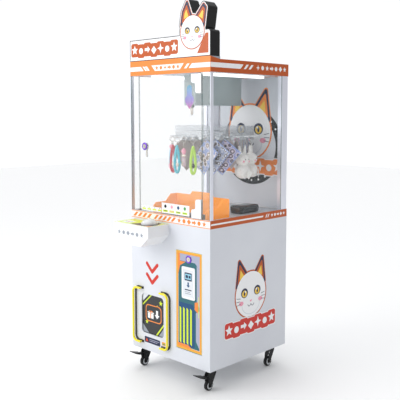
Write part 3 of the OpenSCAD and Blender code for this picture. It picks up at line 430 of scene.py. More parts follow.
def on_front(y):
    """A panel that faces the player: across is X, up is Z."""
    return lambda u, v, w: Vector((u, y - w, v))


def on_right(x):
    """A panel that faces right: across is Y, front to back, up is Z."""
    return lambda u, v, w: Vector((x + w, u, v))


def on_left(x):
    """A panel that faces left: across runs from back to front."""
    return lambda u, v, w: Vector((x - w, -u, v))


def on_top(z):
    """A panel that faces up: across is X, up the print is Y."""
    return lambda u, v, w: Vector((u, v, z + w))


def new_piece(name, bm, mats, body):
    """Turns a bmesh into a piece with finishes that rides on a body."""
    mesh = bpy.data.meshes.new(name)
    bm.to_mesh(mesh)
    bm.free()
    for mat in mats:
        mesh.materials.append(mat)
    piece = bpy.data.objects.new(name, mesh)
    bpy.context.scene.collection.objects.link(piece)
    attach(piece, body)
    return piece


print("film layer mm", round(LAYER / MM, 3))

# %% [markdown]
# ## Laying films
#
# One function lays all films of a panel as one piece. It fills each outline, extrudes it and gives it its
# colour. The sides of the machine carry the same print, and on the left it is turned to face out.

# %% Lay films
def film_sheet(name, body, place, shapes):
    """Cut films: shapes are (colour, layer, outline), with the outline's points in metres on the panel."""
    colors = []
    bm = bmesh.new()
    for color, layer, outline in shapes:
        if color not in colors:
            colors.append(color)
        lift = (layer - 0.8) * LAYER
        ring = [bm.verts.new(place(u, v, lift)) for u, v in outline]
        face = bm.faces.new(ring)
        face.material_index = colors.index(color)
        grown = bmesh.ops.extrude_face_region(bm, geom=[face])
        top = [g for g in grown["geom"] if isinstance(g, bmesh.types.BMVert)]
        bmesh.ops.translate(bm, verts=top, vec=place(0, 0, LAYER) - place(0, 0, 0))
    bmesh.ops.recalc_face_normals(bm, faces=bm.faces)
    return new_piece(name, bm, [film[c] for c in colors], body)


def both_sides(name, shapes):
    """The same print on the right side and, mirrored, on the left one."""
    film_sheet(name + "_right", "cabinet", on_right(half_w), shapes)
    mirrored = [(color, layer, [(-u, v) for u, v in reversed(outline)]) for color, layer, outline in shapes]
    film_sheet(name + "_left", "cabinet", on_left(-half_w), mirrored)


print("film colours", len(film))

# %% [markdown]
# ## Outlines
#
# A plotter cuts film along outlines. Each function returns one as a list of (across, up) points that runs
# round once, so any mix of them makes a print.

# %% Outlines to cut
def bar(u0, v0, u1, v1, lean=0.0):
    """A rectangle whose top is shifted across by lean."""
    return [(u0, v0), (u1, v0), (u1 + lean, v1), (u0 + lean, v1)]


def arc(u, v, radius, start, end, steps=10):
    """Points of an arc from start to end degrees."""
    angles = [math.radians(start + (end - start) * i / steps) for i in range(steps + 1)]
    return [(u + radius * math.cos(a), v + radius * math.sin(a)) for a in angles]


def round_bar(u0, v0, u1, v1, r):
    """A rectangle with corners of radius r."""
    return (arc(u1 - r, v1 - r, r, 0, 90) + arc(u0 + r, v1 - r, r, 90, 180)
            + arc(u0 + r, v0 + r, r, 180, 270) + arc(u1 - r, v0 + r, r, 270, 360))


def disc(u, v, radius, stretch=1.0, steps=36):
    """A circle, stretched across."""
    return [(u + radius * stretch * math.cos(2 * math.pi * i / steps),
             v + radius * math.sin(2 * math.pi * i / steps)) for i in range(steps)]


def star(u, v, radius, points=5, inner=0.45):
    """A star whose notches lie at the share inner of its radius."""
    ring = []
    for i in range(2 * points):
        r = radius if i % 2 == 0 else radius * inner
        a = math.radians(90 + 180 * i / points)
        ring.append((u + r * math.cos(a), v + r * math.sin(a)))
    return ring


def arrow(u, v, size, turn=0):
    """A block arrow that points along turn degrees."""
    shape = [(-1, -0.35), (0.1, -0.35), (0.1, -0.85), (1, 0), (0.1, 0.85), (0.1, 0.35), (-1, 0.35)]
    c, s = math.cos(math.radians(turn)), math.sin(math.radians(turn))
    return [(u + size * (x * c - y * s), v + size * (x * s + y * c)) for x, y in shape]


def turned(outline, u, v, degrees):
    """An outline turned about (u, v)."""
    c, s = math.cos(math.radians(degrees)), math.sin(math.radians(degrees))
    return [(u + (x - u) * c - (y - v) * s, v + (x - u) * s + (y - v) * c) for x, y in outline]


print("a star has", len(star(0, 0, 1)), "points and a disc", len(disc(0, 0, 1)))

# %% [markdown]
# ## Icons in place of names
#
# Small pictures need several films. A gift is a box with a ribbon, and a row of icons stands where a
# maker would print a name.

# %% Gift and icon row
def gift(u, v, size, box_color, ribbon_color, layer):
    """A wrapped box with a ribbon and a bow."""
    shapes = [
        (box_color, layer, bar(u - size, v - size * 0.8, u + size, v + size * 0.35)),
        (box_color, layer, bar(u - size * 1.12, v + size * 0.42, u + size * 1.12, v + size * 0.72)),
        (ribbon_color, layer + 1, bar(u - size * 0.16, v - size * 0.8, u + size * 0.16, v + size * 0.72)),
    ]
    for side in (-1, 1):
        loop = disc(u + side * size * 0.38, v + size * 0.95, size * 0.2, 1.7)
        shapes.append((ribbon_color, layer, turned(loop, u, v + size * 0.8, -side * 18)))
    return shapes


def icon_row(u0, v, size, gap, color, layer, kinds):
    """A row of small icons, in place of a name."""
    shapes = []
    for i, kind in enumerate(kinds):
        u = u0 + i * gap
        half = size * 0.7
        outline = {
            "star": star(u, v, size),
            "dot": disc(u, v, size * 0.75),
            "arrow": arrow(u, v, size),
            "bolt": star(u, v, size, 4, 0.35),
            "diamond": turned(bar(u - half, v - half, u + half, v + half), u, v, 45),
        }[kind]
        shapes.append((color, layer, outline))
    return shapes


print("films in a gift", len(gift(0, 0, 1, "white", "orange", 1)))

# %% [markdown]
# ## Header and deck bands
#
# Two rings run round the machine, over and under the glass. The upper one is orange with a white line
# that breaks into slanted bars beside a white panel; the lower one is white in front and orange at the
# sides. Where a maker would print a name, rows of plain icons stand.

# %% Header band
band_low = header_low.z
band_h = roof_z - header_low.z
dress("header_frame", film["orange"], film["rust"], film["grey"], cabin_coat,
      pick=lambda c, n: 2 if c.z > roof_z - 0.0004
      else (3 if abs(n.z) > 0.5 else (1 if abs(n.x) > 0.5 else 0)))
line_low = band_low + band_h * 0.36
line_high = band_low + band_h * 0.72
lean = 0.02
mid_u = -half_w * 0.02
front_band = [
    ("white", 1, [(-half_w + 0.001, line_low), (-half_w + 0.1, line_low), (-half_w + 0.08, line_high),
                  (-half_w + 0.001, line_high)]),
    ("white", 1, bar(-half_w + 0.112, line_low, -half_w + 0.124, line_high, -lean)),
    ("white", 1, bar(-half_w + 0.128, line_low, -half_w + 0.144, line_high, -lean)),
    ("white", 1, [(mid_u - 0.085, line_low - 0.003), (mid_u + 0.085, line_low - 0.003),
                  (mid_u + 0.11, line_high + 0.003), (mid_u - 0.11, line_high + 0.003)]),
    ("white", 1, bar(mid_u + 0.112, line_low, mid_u + 0.128, line_high, lean)),
    ("white", 1, [(mid_u + 0.142, line_low), (half_w - 0.001, line_low), (half_w - 0.001, line_high),
                  (mid_u + 0.142 + lean, line_high)]),
] + icon_row(mid_u - 0.072, (line_low + line_high) / 2, 0.0115, 0.0288, "orange", 2,
             ["star", "dot", "bolt", "arrow", "dot", "star"])
film_sheet("header_print_front", "cabinet", on_front(front_y), front_band)
side_band = [
    ("white", 1, [(front_y + 0.0015, line_low), (front_y + 0.2, line_low), (front_y + 0.2 + lean, line_high),
                  (front_y + 0.0015, line_high)]),
    ("white", 1, bar(front_y + 0.222, line_low, front_y + 0.238, line_high, lean)),
    ("white", 1, bar(front_y + 0.256, line_low, front_y + 0.272, line_high, lean)),
] + icon_row(front_y + 0.325, (line_low + line_high) / 2, 0.0135, 0.034, "white", 1,
             ["bolt", "dot", "star", "arrow", "dot", "diamond", "star"])
both_sides("header_print", side_band)
print("header band mm", round(band_h / MM, 1), "films in front", len(front_band))

# %% [markdown]
# ## Deck band
#
# The band under the glass warns with slanted bars like those on a kerb, then carries icons. Its sides
# are solid rust with thin white lines.

# %% Deck band
band_low, band_high = deck_low.z, deck_high.z
band_h = band_high - band_low
dress("deck_frame", film["white"], film["rust"], cabin_coat,
      pick=lambda c, n: 2 if abs(n.z) > 0.5 else (1 if abs(n.x) > 0.5 else 0))
lean = 0.022
deck_band = [
    ("orange", 1, bar(-half_w + 0.001, band_low + 0.001, half_w - 0.001, band_low + 0.0045)),
    ("orange", 1, bar(-half_w + 0.001, band_high - 0.0045, half_w - 0.001, band_high - 0.001)),
]
for i in range(5):
    start = -half_w + 0.165 + 0.03 * i
    deck_band.append(("orange", 1, bar(start, band_low + 0.008, start + 0.016, band_high - 0.008, lean)))
for i in range(4):
    start = -half_w + 0.012 + 0.034 * i
    deck_band.append(("orange", 1, bar(start, band_low + 0.008, start + 0.018, band_high - 0.008, lean)))
deck_band += icon_row(half_w - 0.2, band_low + band_h / 2, 0.0135, 0.0325, "orange", 1,
                      ["star", "dot", "diamond", "arrow", "dot", "star"])
film_sheet("deck_print_front", "cabinet", on_front(front_y), deck_band)
side_line_low, side_line_high = band_low + band_h * 0.28, band_low + band_h * 0.72
deck_side = [("white", 1, bar(front_y + 0.002, band_low + band_h * 0.4,
                              front_y + 0.37, band_low + band_h * 0.6, 0.006))]
for start in (front_y + 0.39, front_y + 0.405):
    deck_side.append(("white", 1, bar(start, side_line_low, start + 0.007, side_line_high, 0.01)))
deck_side += icon_row(front_y + 0.442, band_low + band_h / 2, 0.0098, 0.0235, "white", 1,
                      ["star", "dot", "arrow", "diamond", "star"])
both_sides("deck_print", deck_side)
print("deck band mm", round(band_h / MM, 1), "films in front", len(deck_band))

# %% [markdown]
# ## A tight band round circles
#
# An ear or a stroke with round ends is the shape that a rubber band takes round a few circles. Points
# are put on every circle, and only those that the band touches are kept, going over and then under.

# %% Band round circles
def around_circles(circles, steps=20):
    """The outline that a tight band takes round circles given as (u, v, radius)."""
    points = sorted({(u + r * math.cos(2 * math.pi * k / steps), v + r * math.sin(2 * math.pi * k / steps))
                     for u, v, r in circles for k in range(steps)})

    def half_way(order):
        """One side of the band: a point is dropped when the band would bend inwards at it."""
        chain = []
        for q in order:
            while len(chain) > 1 and ((chain[-1][0] - chain[-2][0]) * (q[1] - chain[-2][1])
                                      - (chain[-1][1] - chain[-2][1]) * (q[0] - chain[-2][0])) <= 0:
                chain.pop()
            chain.append(q)
        return chain[:-1]
    return half_way(points) + half_way(reversed(points))


print("a pill has", len(around_circles([(0, 0, 1), (3, 0, 1)])), "points")

# %% [markdown]
# ## A plain cat
#
# The sign, the side panel and the back wall each carry a cat's head. It is a plain one made for this
# model: a round head, two ears, oval eyes, a nose and whiskers. One function draws it at any size, as
# layers of film from the outline inwards.

# %% Cat print
PLAIN_EARS = [[(s * 0.2, 0.75, 0.1), (s * 0.86, 0.4, 0.1), (s * 0.72, 1.42, 0.1)] for s in (-1, 1)]


def cat(u, v, r, layer, ears=PLAIN_EARS, ink="navy", rim="orange"):
    """A cat's head of radius r round (u, v): ears first, so that the head covers their feet."""
    shapes = [(rim, layer + 2, disc(u, v, r))]
    for i, ear in enumerate(ears):
        ring = [(u + a * r, v + b * r, c * r) for a, b, c in ear]
        mid = [sum(part) / len(ring) for part in zip(*ring)]
        shapes.append((rim, layer + i, around_circles(ring)))
        for step, (color, shrink) in enumerate(((ink, 0.035), (rim, 0.3), ("yellow", 0.62))):
            small = [(a + (mid[0] - a) * shrink, b + (mid[1] - b) * shrink, c * (1 - shrink) - 0.025 * r)
                     for a, b, c in ring]
            shapes.append((color, layer + 3 + step, around_circles(small)))
    head = layer + 6
    shapes.append(("white", head, disc(u, v, r * 0.94)))
    shapes.append(("pale", head + 1, disc(u, v - r * 0.42, r * 0.42, 1.35)))
    shapes.append(("white", head + 2, disc(u, v - r * 0.4, r * 0.4, 1.32)))
    for side in (-1, 1):
        shapes += [
            (ink, head + 3, disc(u + side * r * 0.4, v + r * 0.1, r * 0.2, 1.05, 24)),
            ("yellow", head + 4, disc(u + side * r * 0.4, v + r * 0.07, r * 0.14, 1.05, 24)),
            (ink, head + 5, disc(u + side * r * 0.4, v + r * 0.08, r * 0.1, 0.5, 20)),
            ("white", head + 6, disc(u + side * r * 0.35, v + r * 0.15, r * 0.045, 1.0, 14)),
            ("pink", head + 3, disc(u + side * r * 0.6, v - r * 0.3, r * 0.09, 1.5, 20)),
            (ink, head + 3, arc(u + side * r * 0.1, v - r * 0.4, r * 0.1, 180, 360, 8)
             + arc(u + side * r * 0.1, v - r * 0.4, r * 0.075, 360, 180, 8)),
        ]
        for k in (-1, 0, 1):
            near, far = u + side * r * 0.66, u + side * r * 0.9
            line = bar(min(near, far), v - r * (0.21 + 0.11 * k), max(near, far), v - r * (0.19 + 0.11 * k))
            shapes.append((ink, head + 4, turned(line, near, v - r * 0.2, -side * 9 * k)))
    nose = [(u - r * 0.08, v - r * 0.24), (u, v - r * 0.34), (u + r * 0.08, v - r * 0.24)]
    shapes.append(("pink", head + 3, nose))
    return shapes


print("films in a cat", len(cat(0, 0, 1, 1)))

# %% [markdown]
# ## Tiles in place of a name
#
# Joined tiles with a white icon each stand where a big name would be. Neighbours take turns on two
# layers, because tiles that overlap in one layer would fight for the same place.

# %% Name tiles
def name_tiles(u0, v, size, layer, ground="rust"):
    """A row of joined tiles with a white icon each."""
    shapes = []
    for i, kind in enumerate(["star", "dot", "arrow", "diamond", "bolt", "dot", "star"]):
        u = u0 + i * size * 1.7
        up = v + size * 0.1 * (-1) ** i
        for color, tile_layer, wide, tall, corner in (("white", layer, 1.08, 1.34, 0.5),
                                                      (ground, layer + 2, 0.96, 1.2, 0.42)):
            half_u, half_v = size * wide, size * tall
            tile = round_bar(u - half_u, up - half_v, u + half_u, up + half_v, size * corner)
            shapes.append((color, tile_layer + i % 2, tile))
        icon = size * (0.86 if kind in ("star", "bolt") else 0.7)
        shapes += icon_row(u, up, icon, 0, "white", layer + 4, [kind])
    return shapes


print("films in a row of tiles", len(name_tiles(0, 0, 1, 1)))

# %% [markdown]
# ## Sign
#
# The sign is a black case with a white face, cut round the cat's ears. The print repeats the case's
# outline a few millimetres inside its edge, so the ears are worked out from the case's own circles.

# %% Sign
sign_low, sign_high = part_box("sign_face")
dress("sign_face", film["white"])
head_r = 0.084
head_u = half_w - 0.112
sign_z = header_high.z
left_ear = [(-70, 35, 15), (-60, 92, 14), (-33, 132, 16), (4, 55, 12)]
right_ear = [(12, 55, 12), (70, 112, 16), (82, 98, 16), (72, 22, 14)]
margin = 0.007
sign_ears = [[(a * MM / (head_r - margin), b * MM / (head_r - margin), (c * MM - margin) / (head_r - margin))
              for a, b, c in ear] for ear in (left_ear, right_ear)]
sign_shapes = name_tiles(-half_w + 0.036, sign_z + 0.05, 0.0272, 1)
sign_shapes += [("rust", 2, [(head_u + 0.03, sign_z + 0.014), (half_w - 0.012, sign_z + 0.014),
                             (half_w - 0.012, sign_z + 0.1), (half_w - 0.03, sign_z + 0.1)])]
sign_shapes += cat(head_u, sign_z + 0.11, head_r - margin, 6, sign_ears, "navy", "rust")
film_sheet("sign_print", "cabinet", on_front(front_y), sign_shapes)
print("sign films", len(sign_shapes), "face width mm", round((sign_high.x - sign_low.x) / MM, 1))

# %% [markdown]
# ## Side prints
#
# Each side panel carries the cat with a row of tiles under it, in the middle of the panel's depth.

# %% Side prints
side_mid = (front_y + back_y) / 2
side_shapes = cat(side_mid + 0.005, base_z + 0.315, 0.118, 1, rim="rust")
side_shapes += name_tiles(side_mid - 0.152, base_z + 0.165, 0.031, 14, "red")
both_sides("side_print", side_shapes)
print("side films", len(side_shapes))

# %% [markdown]
# ## Back wall print
#
# Inside the cabin the cat sits on a black ring with a row of white dots round it, like the bulbs of an
# old fairground mirror. The dots are placed by a loop round the ring's middle line.

# %% Back wall print
wall_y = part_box("back_panel")[0].y
ring_u, ring_v = 0.045, base_z + 1.01
ring_r, ring_hole, dot_count, dot_r = 0.2, 0.158, 24, 0.0055
dot_line = (ring_r + ring_hole) / 2
wall_shapes = [("black", 1, disc(ring_u, ring_v, ring_r, 1.0, 64)),
               ("pale", 2, disc(ring_u, ring_v, ring_hole, 1.0, 64))]
for i in range(dot_count):
    a = 2 * math.pi * i / dot_count
    spot_u, spot_v = ring_u + dot_line * math.cos(a), ring_v + dot_line * math.sin(a)
    wall_shapes.append(("white", 2, disc(spot_u, spot_v, dot_r, 1, 12)))
wall_shapes += cat(ring_u - 0.015, ring_v + 0.075, 0.148, 3)
wall_shapes += name_tiles(ring_u - 0.165, ring_v - 0.105, 0.033, 18, "orange")
film_sheet("wall_print", "cabinet", on_front(wall_y), wall_shapes)
print("wall films", len(wall_shapes))

# %% [markdown]
# ## Front panel prints
#
# Two red chevrons lead the eye to the outlet, and a small dark label sits under it.

# %% Chevrons and labels
window_low, window_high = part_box("outlet_flap")
outlet_u = (window_low.x + window_high.x) / 2


def stroke(u0, v0, u1, v1, width):
    """A straight stroke with round ends."""
    return around_circles([(u0, v0, width / 2), (u1, v1, width / 2)])


front_shapes = []
for tip in (base_z + 0.346, base_z + 0.401):
    for layer, color, width in ((1, "pale", 0.0235), (3, "red", 0.0175)):
        for step, side in enumerate((-1, 1)):
            arm = stroke(outlet_u + side * 0.038, tip + 0.043, outlet_u, tip + 0.004, width)
            front_shapes.append((color, layer + step, arm))
label_u, label_v = outlet_u - 0.002, base_z + 0.055
front_shapes += [
    ("navy", 1, round_bar(label_u - 0.0575, label_v - 0.015, label_u + 0.0575, label_v + 0.015, 0.006)),
    ("red", 2, [(label_u - 0.051, label_v - 0.009), (label_u - 0.031, label_v - 0.009),
                (label_u - 0.041, label_v + 0.009)]),
    ("amber", 3, bar(label_u - 0.042, label_v - 0.004, label_u - 0.040, label_v + 0.004)),
    ("lilac", 2, bar(label_u - 0.022, label_v + 0.003, label_u + 0.05, label_v + 0.006)),
    ("lilac", 2, bar(label_u - 0.022, label_v - 0.005, label_u + 0.036, label_v - 0.002)),
    ("amber", 1, round_bar(label_u + 0.07, label_v - 0.003, label_u + 0.096, label_v + 0.014, 0.003)),
    ("green", 2, bar(label_u + 0.074, label_v + 0.001, label_u + 0.092, label_v + 0.007)),
]
film_sheet("front_print", "cabinet", on_front(front_y), front_shapes)
print("front films", len(front_shapes))

# %% [markdown]
# ## Service door print
#
# The service door carries the busiest film: an amber border, a lilac band that runs round a teal field,
# a blue block with four lime stripes, and orange corners. It rides on the door.

# %% Service door film
door_low, door_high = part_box("service_door")
du0, du1 = door_low.x + 0.0005, door_high.x - 0.0005
dv0, dv1 = base_z + 0.0712, base_z + 0.5415
edge = 0.013
dress("service_door", film["teal"], white_coat, pick=lambda c, n: 0 if n.y < -0.5 else 1)
mid = (du0 + du1) / 2
door_shapes = [
    ("yellow", 1, bar(du0, dv0, du1, dv1)),
    ("amber", 2, bar(du0 + 0.003, dv0 + 0.003, du1 - 0.003, dv1 - 0.003)),
    ("pale", 3, bar(du0 + edge, dv0 + edge, du1 - edge, dv1 - edge)),
    ("teal", 4, bar(du0 + edge + 0.0015, dv0 + edge + 0.0015, du1 - edge - 0.0015, dv1 - edge - 0.0015)),
    ("orange", 5, [(du0 + edge, dv1 - edge - 0.1), (du0 + edge + 0.012, dv1 - edge - 0.06),
                   (du0 + edge + 0.012, dv1 - edge), (du0 + edge, dv1 - edge)]),
    ("orange", 5, [(du0 + edge + 0.012, dv1 - edge - 0.058), (du0 + edge + 0.05, dv1 - edge - 0.036),
                   (du0 + edge + 0.012, dv1 - edge - 0.036)]),
    ("lilac", 5, [(du0 + edge + 0.0125, dv1 - edge - 0.034), (du1 - edge - 0.03, dv1 - edge - 0.034),
                  (du1 - edge, dv1 - edge - 0.062), (du1 - edge, dv1 - edge),
                  (du0 + edge + 0.0125, dv1 - edge)]),
    ("lilac", 5, [(du1 - edge - 0.019, dv1 - edge - 0.0455), (du1 - edge - 0.019, dv0 + 0.235),
                  (du1 - edge, dv0 + 0.215), (du1 - edge, dv1 - edge - 0.063)]),
    ("lilac", 5, [(du1 - edge - 0.024, dv0 + 0.19), (du1 - edge - 0.024, dv0 + 0.055),
                  (du1 - edge, dv0 + 0.02), (du1 - edge, dv0 + 0.205)]),
    ("orange", 6, [(du1 - edge - 0.032, dv0 + 0.205), (du1 - edge - 0.010, dv0 + 0.19),
                   (du1 - edge - 0.010, dv0 + 0.245), (du1 - edge - 0.032, dv0 + 0.238)]),
    ("lime", 7, bar(du1 - edge - 0.008, dv0 + 0.17, du1 - edge - 0.005, dv0 + 0.27)),
    ("blue", 6, [(du0 + edge + 0.006, dv0 + 0.02), (du1 - edge - 0.033, dv0 + 0.02),
                 (du1 - edge - 0.033, dv0 + 0.2), (du1 - edge - 0.045, dv0 + 0.225),
                 (du0 + edge + 0.006, dv0 + 0.225)]),
    ("orange", 7, [(du0 + edge, dv0 + edge), (mid + 0.02, dv0 + edge), (mid - 0.005, dv0 + 0.026),
                   (du0 + edge, dv0 + 0.026)]),
]
for i in range(4):
    start = mid - 0.0615 + 0.0235 * i
    door_shapes.append(("lime", 8, [(start, dv0 + 0.034), (start + 0.011, dv0 + 0.026),
                                    (start + 0.011, dv0 + 0.196), (start, dv0 + 0.204)]))
film_sheet("service_door_print", "service_door", on_front(door_low.y), door_shapes)
print("service door films", len(door_shapes))

# %% [markdown]
# ## Payment plate print
#
# The plate covers the hole that an operator's card reader would take. Its label shows a reader with an
# arrow as a pictogram, over lines that stand for small print.

# %% Payment plate film
plate_low, plate_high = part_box("payment_plate")
pu = (plate_low.x + plate_high.x) / 2
pv = (plate_low.z + plate_high.z) / 2
pay_shapes = [
    ("pale", 1, round_bar(pu - 0.034, pv - 0.064, pu + 0.034, pv + 0.064, 0.006)),
    ("navy", 2, round_bar(pu - 0.024, pv + 0.012, pu + 0.024, pv + 0.05, 0.004)),
    ("sky", 3, bar(pu - 0.02, pv + 0.018, pu + 0.02, pv + 0.044)),
    ("navy", 4, disc(pu - 0.008, pv + 0.031, 0.008, 1, 20)),
    ("navy", 4, bar(pu + 0.004, pv + 0.025, pu + 0.016, pv + 0.037)),
    ("blue", 2, arrow(pu, pv - 0.008, 0.013, -90)),
    ("navy", 2, bar(pu - 0.022, pv - 0.034, pu + 0.022, pv - 0.029)),
    ("grey", 2, bar(pu - 0.022, pv - 0.043, pu + 0.012, pv - 0.04)),
    ("grey", 2, bar(pu - 0.022, pv - 0.051, pu + 0.018, pv - 0.048)),
]
plate_proud = 0.003
film_sheet("payment_print", "service_door", on_front(front_y - plate_proud), pay_shapes)
print("payment films", len(pay_shapes))

# %% [markdown]
# ## Outlet flap print
#
# The flap is dark and printed with lime diagonals, white corner wedges, a gift and an arrow: it tells a
# player without words that the prize comes out here.

# %% Flap film
dress("outlet_flap", film["charcoal"])
fu0, fu1 = outlet_u - 0.0795, outlet_u + 0.0795
fv0, fv1 = base_z + 0.089, base_z + 0.285
fv = (fv0 + fv1) / 2
flap_front = front_y + 0.007
flap_shapes = [
    ("pale", 1, [(fu0, fv1 - 0.04), (fu0 + 0.045, fv1), (fu0, fv1)]),
    ("grey", 1, [(fu1 - 0.04, fv0), (fu1, fv0), (fu1, fv0 + 0.05)]),
    ("lime", 1, [(fu0, fv1 - 0.062), (fu0, fv1 - 0.054), (fu0 + 0.06, fv1), (fu0 + 0.069, fv1)]),
    ("lime", 1, [(fu1 - 0.062, fv0), (fu1 - 0.052, fv0), (fu1, fv0 + 0.062), (fu1, fv0 + 0.073)]),
    ("grey", 1, [(fu0, fv0), (fu0 + 0.045, fv0), (fu0, fv0 + 0.04)]),
    ("lime", 1, star(fu0 + 0.03, fv0 + 0.055, 0.012)),
    ("lime", 1, star(fu1 - 0.026, fv1 - 0.03, 0.014)),
    ("yellow", 1, star(fu1 - 0.052, fv1 - 0.05, 0.007)),
    ("orange", 1, round_bar(outlet_u - 0.058, fv - 0.038, outlet_u + 0.058, fv + 0.048, 0.02)),
    ("charcoal", 2, round_bar(outlet_u - 0.053, fv - 0.033, outlet_u + 0.053, fv + 0.043, 0.017)),
    ("white", 3, arrow(outlet_u + 0.026, fv + 0.005, 0.021, -90)),
] + gift(outlet_u - 0.021, fv - 0.004, 0.021, "white", "orange", 3)
film_sheet("flap_print", "outlet_flap", on_front(flap_front), flap_shapes)
print("flap films", len(flap_shapes))

# %% [markdown]
# ## Console overlay
#
# The console's top is a lime film with a black wedge round the button, orange corners and a small white
# instruction label.

# %% Console film
top_low, top_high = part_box("console_top")
cu0, cu1, cv0, cv1 = top_low.x, top_high.x, top_low.y, top_high.y
lime_panel = moulded("overlay_lime", "#E3EC8C", 0.25, 4.0, 0.04, Coat_Weight=0.3)
dress("console_top", lime_panel, abs_white, pick=lambda c, n: 0 if n.z > 0.5 else 1)
bezel_low, bezel_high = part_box("button_bezel")
button_u = (bezel_low.x + bezel_high.x) / 2
console_shapes = [
    ("white", 1, round_bar(cu0 + 0.006, cv0 + 0.006, cu1 - 0.006, cv1 - 0.006, 0.006)),
    ("lime", 2, round_bar(cu0 + 0.012, cv0 + 0.012, cu1 - 0.012, cv1 - 0.012, 0.005)),
    ("black", 3, [(button_u - 0.075, cv0 + 0.012), (cu1 - 0.014, cv0 + 0.012), (cu1 - 0.014, cv0 + 0.075),
                  (button_u + 0.03, cv1 - 0.012), (button_u - 0.02, cv1 - 0.012)]),
    ("orange", 4, [(cu1 - 0.05, cv0 + 0.012), (cu1 - 0.012, cv0 + 0.012), (cu1 - 0.012, cv0 + 0.045)]),
    ("orange", 4, [(cu0 + 0.012, cv1 - 0.035), (cu0 + 0.034, cv1 - 0.012), (cu0 + 0.012, cv1 - 0.012)]),
    ("white", 4, round_bar(cu0 + 0.024, cv0 + 0.03, cu0 + 0.086, cv0 + 0.075, 0.004)),
    ("navy", 5, arrow(cu0 + 0.038, cv0 + 0.052, 0.008, 0)),
    ("red", 5, disc(cu0 + 0.055, cv0 + 0.052, 0.007, 1, 20)),
    ("navy", 5, arrow(cu0 + 0.073, cv0 + 0.052, 0.008, -90)),
]
film_sheet("console_print", "cabinet", on_top(top_high.z), console_shapes)
shell_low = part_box("console_shell")[0]
front_icons = icon_row(cu0 + 0.045, shell_low.z + 0.055, 0.0125, 0.0328, "grey", 1,
                       ["star", "dot", "diamond", "arrow", "dot", "star"])
film_sheet("console_front_print", "cabinet", on_front(shell_low.y), front_icons)
print("console films", len(console_shapes) + len(front_icons))

# %% [markdown]
# ## Pictogram strips on the door glass
#
# Two white strips at the foot of the glass door show the play steps: button, clip, prize.

# %% Door strips
pane_low, pane_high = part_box("glass_door")
su1 = pane_high.x - 0.078
su0 = su1 - 0.188
sv0 = pane_low.z + 0.003
strip_shapes = [("white", 1, bar(su0, sv0, su1, sv0 + 0.049)),
                ("white", 1, bar(pane_low.x + 0.012, sv0, su0 - 0.004, sv0 + 0.022))]
for i, color in enumerate(("black", "pink", "blue", "green")):
    u = su0 + 0.026 + 0.044 * i
    strip_shapes.append((color, 2, disc(u, sv0 + 0.033, 0.008, 1, 20)))
    strip_shapes.append(("lime", 2, bar(u - 0.016, sv0 + 0.006, u + 0.016, sv0 + 0.016)))
    strip_shapes.append((color, 3, bar(u - 0.011, sv0 + 0.0095, u + 0.011, sv0 + 0.0125)))
for i in range(4):
    u = pane_low.x + 0.03 + 0.038 * i
    strip_shapes.append(("lime", 2, bar(u - 0.013, sv0 + 0.005, u + 0.013, sv0 + 0.012)))
    strip_shapes.append(("navy", 2, arrow(u, sv0 + 0.017, 0.003, 0)))
film_sheet("door_strips", "door", on_front(pane_low.y), strip_shapes)
print("strip films", len(strip_shapes))

# %% [markdown]
# ## Lock rings
#
# Each cam lock sits in a turned purple ring of anodised aluminium. A ring is a spun profile: a few
# points are turned about the lock's axis with the spin operator, as a lathe would cut it.

# %% Lock rings
ring_purple = drawn_metal("anodised_purple", "#7A4FC8", 0.25, (1, 1, 1), 2)


def spun(name, body, center, axis, profile, mat):
    """A turned piece: profile is (radius, along) points, spun about axis through center."""
    bm = bmesh.new()
    axis = Vector(axis).normalized()
    side = axis.orthogonal().normalized()
    verts = [bm.verts.new(center + side * r + axis * a) for r, a in profile]
    edges = [bm.edges.new((verts[i], verts[i + 1])) for i in range(len(verts) - 1)]
    bmesh.ops.spin(bm, geom=verts + edges, cent=center, axis=axis, angle=2 * math.pi, steps=48,
                   use_merge=True)
    bmesh.ops.remove_doubles(bm, verts=bm.verts, dist=1e-6)
    bmesh.ops.recalc_face_normals(bm, faces=bm.faces)
    for face in bm.faces:
        face.smooth = True
    return new_piece(name, bm, [mat], body)


lock_head_r = 0.011


def lock_ring(name, body, lock_node, face_y):
    """A ring round a lock's head, which is the top of the lock's box, on the sheet at face_y."""
    low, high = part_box(lock_node)
    across = high.x - lock_head_r if lock_node == "service_lock" else (low.x + high.x) / 2
    middle = Vector((across, face_y, high.z - lock_head_r))
    inner, outer = 0.0114, 0.0184
    profile = [(inner, 0), (outer, 0), (outer, 0.0018), (outer - 0.0016, 0.0034), (inner + 0.001, 0.0034),
               (inner, 0.0026), (inner, 0)]
    spun(name, body, middle, (0, -1, 0), profile, ring_purple)


lock_ring("service_lock_ring", "service_door", "service_lock", front_y - 0.0002)
lock_ring("door_lock_ring", "door", "door_lock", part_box("door_lock")[0].y + 0.0034)
print("lock rings", 2)

# %% [markdown]
# ## Card packs
#
# The packs are printed cards in clear sleeves with a punched tab, hung by one corner so that they fan
# round the rack. Each card is its own thin slab built in its final place: the CAD solids give the
# corner, the lean and the turn, so the new packs fill exactly that space.

